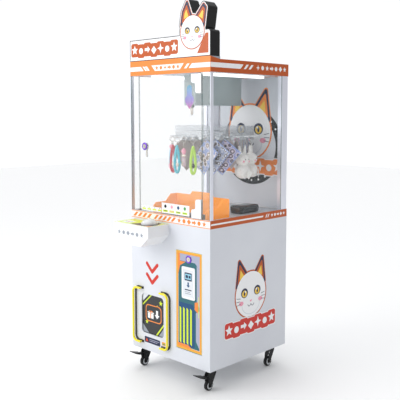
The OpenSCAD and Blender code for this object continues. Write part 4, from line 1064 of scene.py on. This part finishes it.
# %% Card finishes
def card_print(name, ground, ink, light, cell_mm):
    """Printed card: rows of small blurred figures on a pale ground."""
    mat, tree, shader = finish(name, ground, 0.25, Coat_Weight=0.6, Coat_Roughness=0.08)
    place = add(tree, "ShaderNodeTexCoord")
    cells = add(tree, "ShaderNodeTexVoronoi", {"Vector": place.outputs["Object"]},
                {"Scale": 1 / (cell_mm * MM), "Randomness": 0.75})
    ramp = add(tree, "ShaderNodeValToRGB", {"Fac": cells.outputs["Distance"]})
    ramp.color_ramp.elements[0].position = 0.2
    ramp.color_ramp.elements[0].color = linear(light)
    ramp.color_ramp.elements[1].position = 0.7
    ramp.color_ramp.elements[1].color = linear(ground)
    ramp.color_ramp.elements.new(0.3).color = linear(ink)
    ramp.color_ramp.elements.new(0.42).color = linear(ink)
    ramp.color_ramp.elements.new(0.5).color = linear(light)
    tint = add(tree, "ShaderNodeTexNoise", {"Vector": place.outputs["Object"]},
               {"Scale": 1 / (cell_mm * 2.2 * MM), "Detail": 2.0})
    mix = add(tree, "ShaderNodeMixRGB", {"Fac": tint.outputs["Fac"], "Color1": ramp.outputs["Color"]},
              {"Color2": linear(light)}, blend_type="MULTIPLY")
    tree.links.new(mix.outputs["Color"], shader.inputs["Base Color"])
    grain(tree, shader, 14, 0.25, 0.4, 2.0)
    return mat


card_faces = [card_print("card_print_violet", "#9AA3DA", "#4B3457", "#F2E8F0", 25),
              card_print("card_print_blue", "#8A9FD8", "#5B4034", "#F6ECE6", 23),
              card_print("card_print_grey", "#A0ADCE", "#51423E", "#EEF0F8", 19)]
card_border = printed_film("card_border_blue", "#86A2E2", 0.25)
card_back, tree, shader = finish("card_back_kraft", "#B5A59E", 0.5)
mottle(tree, shader, "#A8988F", "#C4B7B0", 30)
grain(tree, shader, 1.2, 0.2, 0.1)
sleeve_film = clear_sheet("sleeve_polypropylene", "#F4F6FA", 0.1, 0.1)
print("card prints", [mat.name for mat in card_faces])

# %% [markdown]
# ## Reading the soft solids
#
# The CAD frame holds plain solids where the prizes hang. Splitting such a mesh into its separate islands
# gives each prize's corners, so the new pieces follow the frame when the rack's size changes.

# %% Islands of a soft solid
def islands(node):
    """The separate solids of a CAD node, each as the list of its corner points."""
    bm = bmesh.new()
    bm.from_mesh(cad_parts[node].data)
    bmesh.ops.remove_doubles(bm, verts=bm.verts, dist=1e-6)
    seen, found = set(), []
    for start in bm.verts:
        if start in seen:
            continue
        group, stack = [], [start]
        seen.add(start)
        while stack:
            vert = stack.pop()
            group.append(vert.co.copy())
            for edge in vert.link_edges:
                other = edge.other_vert(vert)
                if other not in seen:
                    seen.add(other)
                    stack.append(other)
        found.append(group)
    bm.free()
    return found


def around(point):
    """Angle round the rack in degrees: 0 at the front, positive to the right."""
    return math.degrees(math.atan2(point.x - rack_axis.x, -(point.y - rack_axis.y)))


def in_order(node):
    """A node's islands in their order round the rack."""
    return sorted(islands(node), key=lambda corners: around(sum(corners, Vector()) / len(corners)))


print("solids round the rack", [len(islands(node)) for node in ("card_packs", "keychains", "plush_prizes")])

# %% [markdown]
# ## Building the packs
#
# A pack is a clear sleeve, a blue border and the printed card, each a thin slab inside the last. One
# function makes a slab from the sleeve's middle and its two edges, with a print on the outer face and
# kraft on the back. A solidified plane would do as well, but the slab keeps both faces' finishes simple.

# %% Slab of a pack
SLEEVE_HALF = 0.0009
KRAFT, SLEEVE, BORDER = 3, 4, 5


def slab(bm, middle, along, down, normal, inset, half, outer_mat, inner_mat):
    """A slab of twice half thick, smaller than its edges by the share inset at every side."""
    a, d = along * (0.5 - inset), down * (0.5 - inset)
    ring = [bm.verts.new(middle + a * x + d * y - normal * half)
            for x, y in ((-1, -1), (1, -1), (1, 1), (-1, 1))]
    face = bm.faces.new(ring)
    grown = bmesh.ops.extrude_face_region(bm, geom=[face])
    tops = [g for g in grown["geom"] if isinstance(g, bmesh.types.BMVert)]
    bmesh.ops.translate(bm, verts=tops, vec=normal * 2 * half)
    for f in {f for v in tops + ring for f in v.link_faces}:
        f.normal_update()
        f.material_index = outer_mat if (f.calc_center_median() - middle).dot(normal) > 0 else inner_mat


print("sleeve thickness mm", round(2 * SLEEVE_HALF / MM, 2))

# %% [markdown]
# ## Hanging the packs
#
# A pack hangs by its top corner, so its four corners lie at four heights. The top corner and the two
# beside it give the slab's edges, and the side that looks along the rack's turn carries the print.

# %% Hang the packs
cards = in_order("card_packs")
bm = bmesh.new()
for number, corners in enumerate(cards):
    levels = {}
    for p in corners:
        levels.setdefault(round(p.z, 4), []).append(p)
    points = [sum(twins, Vector()) / len(twins) for z, twins in sorted(levels.items(), reverse=True)]
    top, right, left, bottom = points
    along, down = (left - top), (right - top)
    normal = along.cross(down).normalized()
    outward = (top - rack_axis)
    outward.z = 0
    if normal.dot(Vector((outward.y, -outward.x, 0))) < 0:
        normal = -normal
    place = (bm, (top + bottom) / 2, along, down, normal)
    slab(*place, 0.055, 0.00066, number % len(card_faces), KRAFT)
    slab(*place, 0.03, 0.0006, BORDER, KRAFT)
    slab(*place, 0.004, SLEEVE_HALF, SLEEVE, SLEEVE)
bmesh.ops.recalc_face_normals(bm, faces=bm.faces)
pack_mats = card_faces + [card_back, sleeve_film, card_border]
packs = new_piece("hung_card_packs", bm, pack_mats, "carousel")
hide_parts("card_packs")
print("packs", len(cards))

# %% [markdown]
# ## Tubes
#
# Rings, chains and straps are tubes. A circle is made at each point of a path, turned to face along it,
# and flattened for a strap. Neighbouring circles are then bridged. A curve object with a bevel could do
# this too, but here each circle's turn is known, so a strap never twists.

# %% Tube
def tube(bm, points, radius, mat, closed=False, sides=10, flat=1.0, flat_axis=Vector((0, 1, 0))):
    """A round or flattened tube along points, built ring by ring and bridged."""
    rings = []
    count = len(points)
    for i, p in enumerate(points):
        ahead = points[(i + 1) % count] if closed or i < count - 1 else points[i]
        behind = points[i - 1] if closed or i > 0 else points[i]
        way = (ahead - behind).normalized()
        across = way.cross(flat_axis)
        across = across.normalized() if across.length > 1e-4 else way.orthogonal().normalized()
        other = across.cross(way).normalized()
        spot = Matrix.Translation(p) @ Matrix((across, other, way)).transposed().to_4x4()
        made = bmesh.ops.create_circle(bm, segments=sides, radius=radius,
                                       matrix=spot @ Matrix.Diagonal((1, flat, 1, 1)))
        rings.append(made["verts"])
    pairs = list(zip(rings, rings[1:])) + ([(rings[-1], rings[0])] if closed else [])
    skin = []
    for pair in pairs:
        edges = [bm.edges.get((ring[k], ring[(k + 1) % sides])) for ring in pair for k in range(sides)]
        skin += bmesh.ops.bridge_loops(bm, edges=edges)["faces"]
    for face in skin:
        face.smooth = True
    if not closed:
        skin += [bm.faces.new(ring) for ring in (rings[0], rings[-1])]
    for face in skin:
        face.material_index = mat
    bmesh.ops.recalc_face_normals(bm, faces=skin)


print("a tube's circle has", tube.__defaults__[1], "sides unless told otherwise")

# %% [markdown]
# ## Loops, balls and drops
#
# A folded silicone strap hangs as a teardrop, because its two ends are pinched in the hook. The small
# figures are soft rounded shapes, so they are balls, squashed where the real ones are flat.

# %% Loops and balls
def below(point, drop):
    """The place straight under a point."""
    return point - Vector((0, 0, drop))


def loop_points(middle, width, height, across, steps=28, pinch=0.55):
    """A teardrop loop in a vertical plane, narrow at the top."""
    points = []
    for i in range(steps):
        a = 2 * math.pi * i / steps
        up = math.cos(a)
        wide = math.sin(a) * (1 - pinch * (0.5 + 0.5 * up))
        points.append(middle + across * wide * width / 2 + Vector((0, 0, up * height / 2)))
    return points


def ball(bm, middle, radius, mat, squash=(1, 1, 1), levels=3):
    """A smooth ball, squashed along the axes."""
    spot = Matrix.Translation(middle) @ Matrix.Diagonal((*squash, 1))
    made = bmesh.ops.create_icosphere(bm, subdivisions=levels, radius=radius, matrix=spot)
    for face in {f for v in made["verts"] for f in v.link_faces}:
        face.material_index = mat
        face.smooth = True


print("points in a loop", len(loop_points(Vector(), 0.03, 0.12, Vector((1, 0, 0)))))

# %% [markdown]
# ## Key chain finishes
#
# Straps are dyed silicone, dull with a soft grain. The ball over a figure is acrylic pile, rough enough
# to scatter all light, and the little cup is clear plastic with coloured beads in it.

# %% Key chain finishes
silicone = {c: moulded("silicone_" + c, code, 0.35, 0.6, 0.1, Coat_Weight=0.2) for c, code in
            (("red", "#C8283A"), ("cyan", "#4FC3D6"), ("lime", "#B7E33C"), ("pink", "#EFA3BF"),
             ("cream", "#F3E6D8"), ("sky", "#A9DDF0"))}
pom_pile, tree, shader = finish("pom_acrylic_pile", "#F0A2B8", 0.9, Sheen_Weight=0.6)
grain(tree, shader, 1.6, 0.9, 1.2)
cup_clear = clear_sheet("tumbler_clear", "#F2DCE6", 0.45, 0.08)
chain_mats = [nickel, silicone["red"], silicone["cyan"], silicone["lime"], silicone["pink"],
              silicone["cream"], pom_pile, film["black"], cup_clear, silicone["sky"]]
METAL, RED, CYAN, LIME, PINK, CREAM, POM, BLACK, CUP, SKY = range(len(chain_mats))
print("key chain finishes", len(chain_mats))

# %% [markdown]
# ## Three kinds of key chain
#
# Every chain starts with a split ring on the peg and a short link. Under it hangs a strap with a bead, a
# round figure on a thin cord loop, or a cup of beads under a pile ball.

# %% Kinds of key chain
def ring_and_link(bm, hook, across):
    """The split ring on its peg and the link under it."""
    ring_mid, ring_r = below(hook, 0.013), 0.0115
    circle = [ring_mid + across * ring_r * math.cos(2 * math.pi * i / 24)
              + Vector((0, 0, ring_r)) * math.sin(2 * math.pi * i / 24) for i in range(24)]
    tube(bm, circle, 0.0011, METAL, True, 8)
    tube(bm, [below(hook, 0.024 + 0.007 * k) for k in range(4)], 0.0022, METAL)


def strap_chain(bm, hook, across, out, strap, bead):
    """A folded strap with a knot at the top and a bead in its loop."""
    tube(bm, loop_points(below(hook, 0.112), 0.029, 0.122, across), 0.0068, strap, True, 12, 0.5, out)
    ball(bm, below(hook, 0.05), 0.0095, strap, (0.9, 0.6, 1.2))
    ball(bm, below(hook, 0.135), 0.0105, bead, (0.9, 0.5, 1))


def figure_chain(bm, hook, across, out):
    """A thin cord loop, a pile ball and a flat round figure with a pale face."""
    tube(bm, loop_points(below(hook, 0.102), 0.03, 0.11, across), 0.0042, SKY, True, 10, 0.6, out)
    ball(bm, below(hook, 0.052), 0.0125, POM)
    ball(bm, below(hook, 0.148), 0.0205, PINK, (1, 0.62, 1.0))
    ball(bm, below(hook, 0.148) + out * 0.004, 0.0165, CREAM, (1, 0.62, 1.0))


def cup_chain(bm, hook, across, out):
    """A pile ball over a clear cup, with beads that wind up inside it."""
    ball(bm, below(hook, 0.068), 0.014, POM, (1, 0.62, 1.15))
    ball(bm, below(hook, 0.088), 0.0122, CREAM, (1.1, 0.62, 0.5))
    spot = Matrix.Translation(below(hook, 0.117))
    cup = bmesh.ops.create_cone(bm, cap_ends=True, segments=28, radius1=0.0135, radius2=0.0155, depth=0.046,
                                matrix=spot @ Matrix.Diagonal((1, 0.55, 1, 1)))
    for face in {f for v in cup["verts"] for f in v.link_faces}:
        face.material_index = CUP
        face.smooth = len(face.verts) == 4
    for k in range(26):
        turn = 2.4 * k
        reach = 0.004 + 0.009 * (k % 3) / 2
        bead = below(hook + across * reach * math.cos(turn) + out * 0.0055 * math.sin(turn), 0.1 + 0.0014 * k)
        ball(bm, bead, 0.0024, RED + k % 4, levels=1)


print("kinds", [kind.__name__ for kind in (strap_chain, figure_chain, cup_chain)])

# %% [markdown]
# ## Hanging the key chains
#
# Each chain hangs in the middle of its own solid, from the height of the peg. Each is turned a little
# more than the rack's angle, as chains swing when the rack turns, so their broad sides can be seen.

# %% Hang the key chains
chain_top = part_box("keychains")[1].z
chains = in_order("keychains")
extra_turns = (80, 62, 56, 40, 30)
strap_colors = {1: (RED, CREAM), 2: (CYAN, CREAM), 4: (LIME, BLACK)}
bm = bmesh.new()
for number, corners in enumerate(chains):
    middle = sum(corners, Vector()) / len(corners)
    angle = math.radians(around(middle) + extra_turns[number])
    across = Vector((math.cos(angle), math.sin(angle), 0))
    out = Vector((math.sin(angle), -math.cos(angle), 0))
    hook = Vector((middle.x, middle.y, chain_top))
    ring_and_link(bm, hook, across)
    if number == 0:
        figure_chain(bm, hook, across, out)
    elif number == 3:
        cup_chain(bm, hook, across, out)
    else:
        strap_chain(bm, hook, across, out, *strap_colors[number])
key_chains = new_piece("hung_key_chains", bm, chain_mats, "carousel")
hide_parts("keychains")
print("key chains", len(chains))

# %% [markdown]
# ## Plush finishes
#
# The toys are sewn from white short pile: it scatters light and has a pale rim where the fibres stand
# against it, which sheen gives. The cheeks are felt, the eyes are glossy moulded beads, and a card tag
# hangs from a seam.

# %% Plush finishes
plush_pile, tree, shader = finish("plush_short_pile", "#F2F0EC", 0.95, Sheen_Weight=0.5, Sheen_Roughness=0.6)
mottle(tree, shader, "#E6E3DE", "#F8F7F4", 9)
grain(tree, shader, 1.3, 0.9, 1.0)
cheek_felt, tree, shader = finish("cheek_felt", "#F2A3B6", 0.95, Sheen_Weight=0.3)
grain(tree, shader, 0.9, 0.6, 0.4)
eye_glass = moulded("eye_moulded_black", "#0E0E10", 0.08, Coat_Weight=0.8)
tag_card, tree, shader = finish("tag_card", "#F5F3EE", 0.5)
mottle(tree, shader, "#EDEBE4", "#FAF9F6", 6)
toy_mats = [eye_glass, cheek_felt, nickel, tag_card]
EYE, CHEEK, WIRE, TAG = range(len(toy_mats))
print("plush finishes", 1 + len(toy_mats))

# %% [markdown]
# ## Plush bodies
#
# A toy is a round head and body with short arms, feet and two long ears. Balls are laid where the
# stuffing bulges, merged by a voxel remesh, which fillets the joins as a stuffed seam does, and smoothed.
# A last small shift along each normal leaves the pile uneven.

# %% Plush bodies
def lay_stuffing(bm, body_mid, head_mid, across, out):
    """Balls for body, head, arms, feet and ears."""
    ball(bm, body_mid, 0.0365, 0, (1, 1, 0.98))
    ball(bm, head_mid, 0.0325, 0, (1.06, 1.0, 0.95))
    for side in (-1, 1):
        ball(bm, body_mid + across * side * 0.026 + out * 0.012 + Vector((0, 0, 0.010)), 0.0105, 0)
        ball(bm, below(body_mid + across * side * 0.016 + out * 0.018, 0.022), 0.0115, 0)
        for k in range(7):
            spot = head_mid + across * side * (0.014 + 0.0012 * k) + Vector((0, 0, 0.022 + 0.0065 * k))
            ball(bm, spot, 0.0098 - 0.0006 * k, 0)


def merge_balls(toy):
    """Joins a toy's balls to one skin, and makes its pile uneven."""
    merge = toy.modifiers.new("merge", "REMESH")
    merge.mode = "VOXEL"
    merge.voxel_size = 0.0022
    merge.use_smooth_shade = True
    soften = toy.modifiers.new("soften", "SMOOTH")
    soften.factor = 0.6
    soften.iterations = 6
    graph = bpy.context.evaluated_depsgraph_get()
    merged = bpy.data.meshes.new_from_object(toy.evaluated_get(graph))
    toy.modifiers.clear()
    toy.data = merged
    for vert in toy.data.vertices:
        fuzz = noise.noise(vert.co * 420) * 0.0006
        vert.co = vert.co + vert.normal * fuzz


print("steps", lay_stuffing.__name__, merge_balls.__name__)

# %% [markdown]
# ## Plush faces and tags
#
# Eyes, cheeks and nose are small balls half sunk in the pile. A wire holds the toy on the rack's peg, and
# a plain card tag leans on its belly.

# %% Plush details
def sew_details(bm, body_mid, head_mid, across, out):
    """Face, hanging wire and tag."""
    for side in (-1, 1):
        eye = head_mid + across * side * 0.0115 + out * 0.0312 + Vector((0, 0, 0.001))
        ball(bm, eye, 0.0028, EYE, levels=2)
        ball(bm, below(head_mid + across * side * 0.018 + out * 0.026, 0.0085), 0.0052, CHEEK, levels=2)
    ball(bm, below(head_mid + out * 0.0325, 0.005), 0.0018, CHEEK, (1.4, 1, 0.9), 2)
    tube(bm, [head_mid + Vector((0, 0, 0.024 + 0.0095 * k)) for k in range(9)], 0.0013, WIRE)
    tag = below(body_mid + out * 0.039 + across * 0.006, 0.014)
    spot = Matrix.Translation(tag) @ Matrix((across, out, Vector((0, 0, 1)))).transposed().to_4x4()
    tilt = Matrix.Rotation(0.75, 4, "Y")
    made = bmesh.ops.create_cube(bm, size=1, matrix=spot @ tilt @ Matrix.Diagonal((0.03, 0.0006, 0.036, 1)))
    for face in {f for v in made["verts"] for f in v.link_faces}:
        face.material_index = TAG


toys = in_order("plush_prizes")
for number, corners in enumerate(toys):
    low = Vector([min(p[axis] for p in corners) for axis in range(3)])
    high = Vector([max(p[axis] for p in corners) for axis in range(3)])
    middle = (low + high) / 2
    angle = math.radians(around(middle))
    out = Vector((math.sin(angle), -math.cos(angle), 0))
    across = Vector((math.cos(angle), math.sin(angle), 0))
    body_mid = Vector((middle.x, middle.y, low.z + 0.038))
    head_mid = Vector((middle.x, middle.y, low.z + 0.096))
    pose = (body_mid, head_mid, across, out)
    bm = bmesh.new()
    lay_stuffing(bm, *pose)
    toy = new_piece("plush_toy_%d" % (number + 1), bm, [plush_pile], "carousel")
    merge_balls(toy)
    if number == 0:
        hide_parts("plush_prizes")
    bm = bmesh.new()
    sew_details(bm, *pose)
    new_piece("plush_details_%d" % (number + 1), bm, toy_mats, "carousel")
print("plush toys", len(toys))

# %% [markdown]
# ## Wrapped bundle
#
# On the deck lies a bundle in black film. The film is pulled round soft contents, so its surface is a
# subdivided block with broad dents and sharp little creases from two scales of noise.

# %% Bundle
bundle_low, bundle_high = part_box("prize_bundle")
bundle_film, tree, shader = finish("bundle_film_black", "#1B1C1F", 0.14, Coat_Weight=0.5, Coat_Roughness=0.05)
grain(tree, shader, 11, 0.8, 2.5, 4.0)
size = bundle_high - bundle_low
center = (bundle_low + bundle_high) / 2
bm = bmesh.new()
bmesh.ops.create_cube(bm, size=1.0, matrix=Matrix.Translation(center) @ Matrix.Diagonal((*(size * 0.96), 1)))
bmesh.ops.bevel(bm, geom=bm.edges[:], offset=0.014, affect="EDGES", segments=3, profile=0.5, material=-1)
bmesh.ops.subdivide_edges(bm, edges=bm.edges[:], cuts=5, use_grid_fill=True)
bmesh.ops.recalc_face_normals(bm, faces=bm.faces)
for vert in bm.verts:
    broad = noise.noise(vert.co * 28) * 0.006
    crease = -abs(noise.noise(vert.co * 90)) * 0.004
    if vert.co.z > bundle_low.z + 0.004:
        vert.co += (vert.co - center).normalized() * (broad + crease - 0.002)
    vert.co.z = max(vert.co.z, bundle_low.z)
for vert in bm.verts:
    for axis in range(3):
        vert.co[axis] = min(max(vert.co[axis], bundle_low[axis]), bundle_high[axis])
for face in bm.faces:
    face.smooth = True
bundle = new_piece("wrapped_bundle", bm, [bundle_film], "cabinet")
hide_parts("prize_bundle")
print("bundle mm", [round(side / MM) for side in size])

# %% [markdown]
# ## Floor
#
# The machine stands on a plain pale sheet, as in a studio. It isn't part of the object, so it is put on
# the stage and not on a body.

# %% Floor
floor_mat, tree, shader = finish("floor_paper", "#F4F4F3", 0.8)
grain(tree, shader, 60, 0.02)
bm = bmesh.new()
bmesh.ops.create_grid(bm, x_segments=1, y_segments=1, size=12)
mesh = bpy.data.meshes.new("floor")
bm.to_mesh(mesh)
bm.free()
mesh.materials.append(floor_mat)
floor = bpy.data.objects.new("floor", mesh)
bpy.context.scene.collection.objects.link(floor)
print("floor across m", round(2 * max(vert.co.x for vert in floor.data.vertices)))

# %% [markdown]
# ## Light
#
# Three soft lights do it. The sky is a white studio that grows dimmer towards the right, a big lamp
# stands at the front left, and a wide overhead sun lights the floor. So the front reads bright, and the
# right side a shade darker.

# %% Light
world = bpy.data.worlds.new("studio")
world.use_nodes = True
sky = world.node_tree
sky.nodes["Background"].inputs["Color"].default_value = linear("#FBFCFF")
way_out = add(sky, "ShaderNodeTexCoord")
parts = add(sky, "ShaderNodeSeparateXYZ", {"Vector": way_out.outputs["Generated"]})
dim = add(sky, "ShaderNodeMapRange", {"Value": parts.outputs["X"]},
          {"From Min": -0.5, "From Max": 0.9, "To Min": 1.05, "To Max": 0.48})
sky.links.new(dim.outputs["Result"], sky.nodes["Background"].inputs["Strength"])
bpy.context.scene.world = world


def soft_light(name, spot, target, size, power):
    """A square area lamp at spot that looks at target."""
    lamp = bpy.data.lights.new(name, "AREA")
    lamp.size = size
    lamp.energy = power
    holder = bpy.data.objects.new(name, lamp)
    holder.location = spot
    holder.rotation_euler = (Vector(target) - Vector(spot)).to_track_quat("-Z", "Y").to_euler()
    bpy.context.scene.collection.objects.link(holder)


soft_light("key_front_left", (-1.6, -3.4, 2.4), (0, 0, 0.9), 2.4, 60)
sun = bpy.data.lights.new("overhead_soft", "SUN")
sun.energy = 0.8
sun.angle = math.radians(60)
overhead = bpy.data.objects.new("overhead_soft", sun)
overhead.rotation_euler = (math.radians(-8), math.radians(-10), 0)
bpy.context.scene.collection.objects.link(overhead)

# %% [markdown]
# ## Camera
#
# The camera stands at chest height off the right front corner. It looks down a little, and the lens is
# shifted so that the upright edges keep their lean. Colours are shown in the plain standard view, which
# keeps white sheets and bright films as they are.

# %% Camera
lens = bpy.data.cameras.new("camera")
lens.lens = 60.8
lens.sensor_width = 36
lens.shift_y = -0.045
bpy.context.scene.view_settings.view_transform = "Standard"
camera = bpy.data.objects.new("camera", lens)
eye = Vector((2.323, -2.375, 1.286))
pitch = math.radians(5.828)
way = Vector((-0.6997 * math.cos(pitch), 0.7145 * math.cos(pitch), -math.sin(pitch)))
camera.location = eye
camera.rotation_euler = way.to_track_quat("-Z", "Y").to_euler()
bpy.context.scene.collection.objects.link(camera)
bpy.context.scene.camera = camera
print("camera at", [round(v, 2) for v in eye], "lens mm", round(lens.lens, 1))
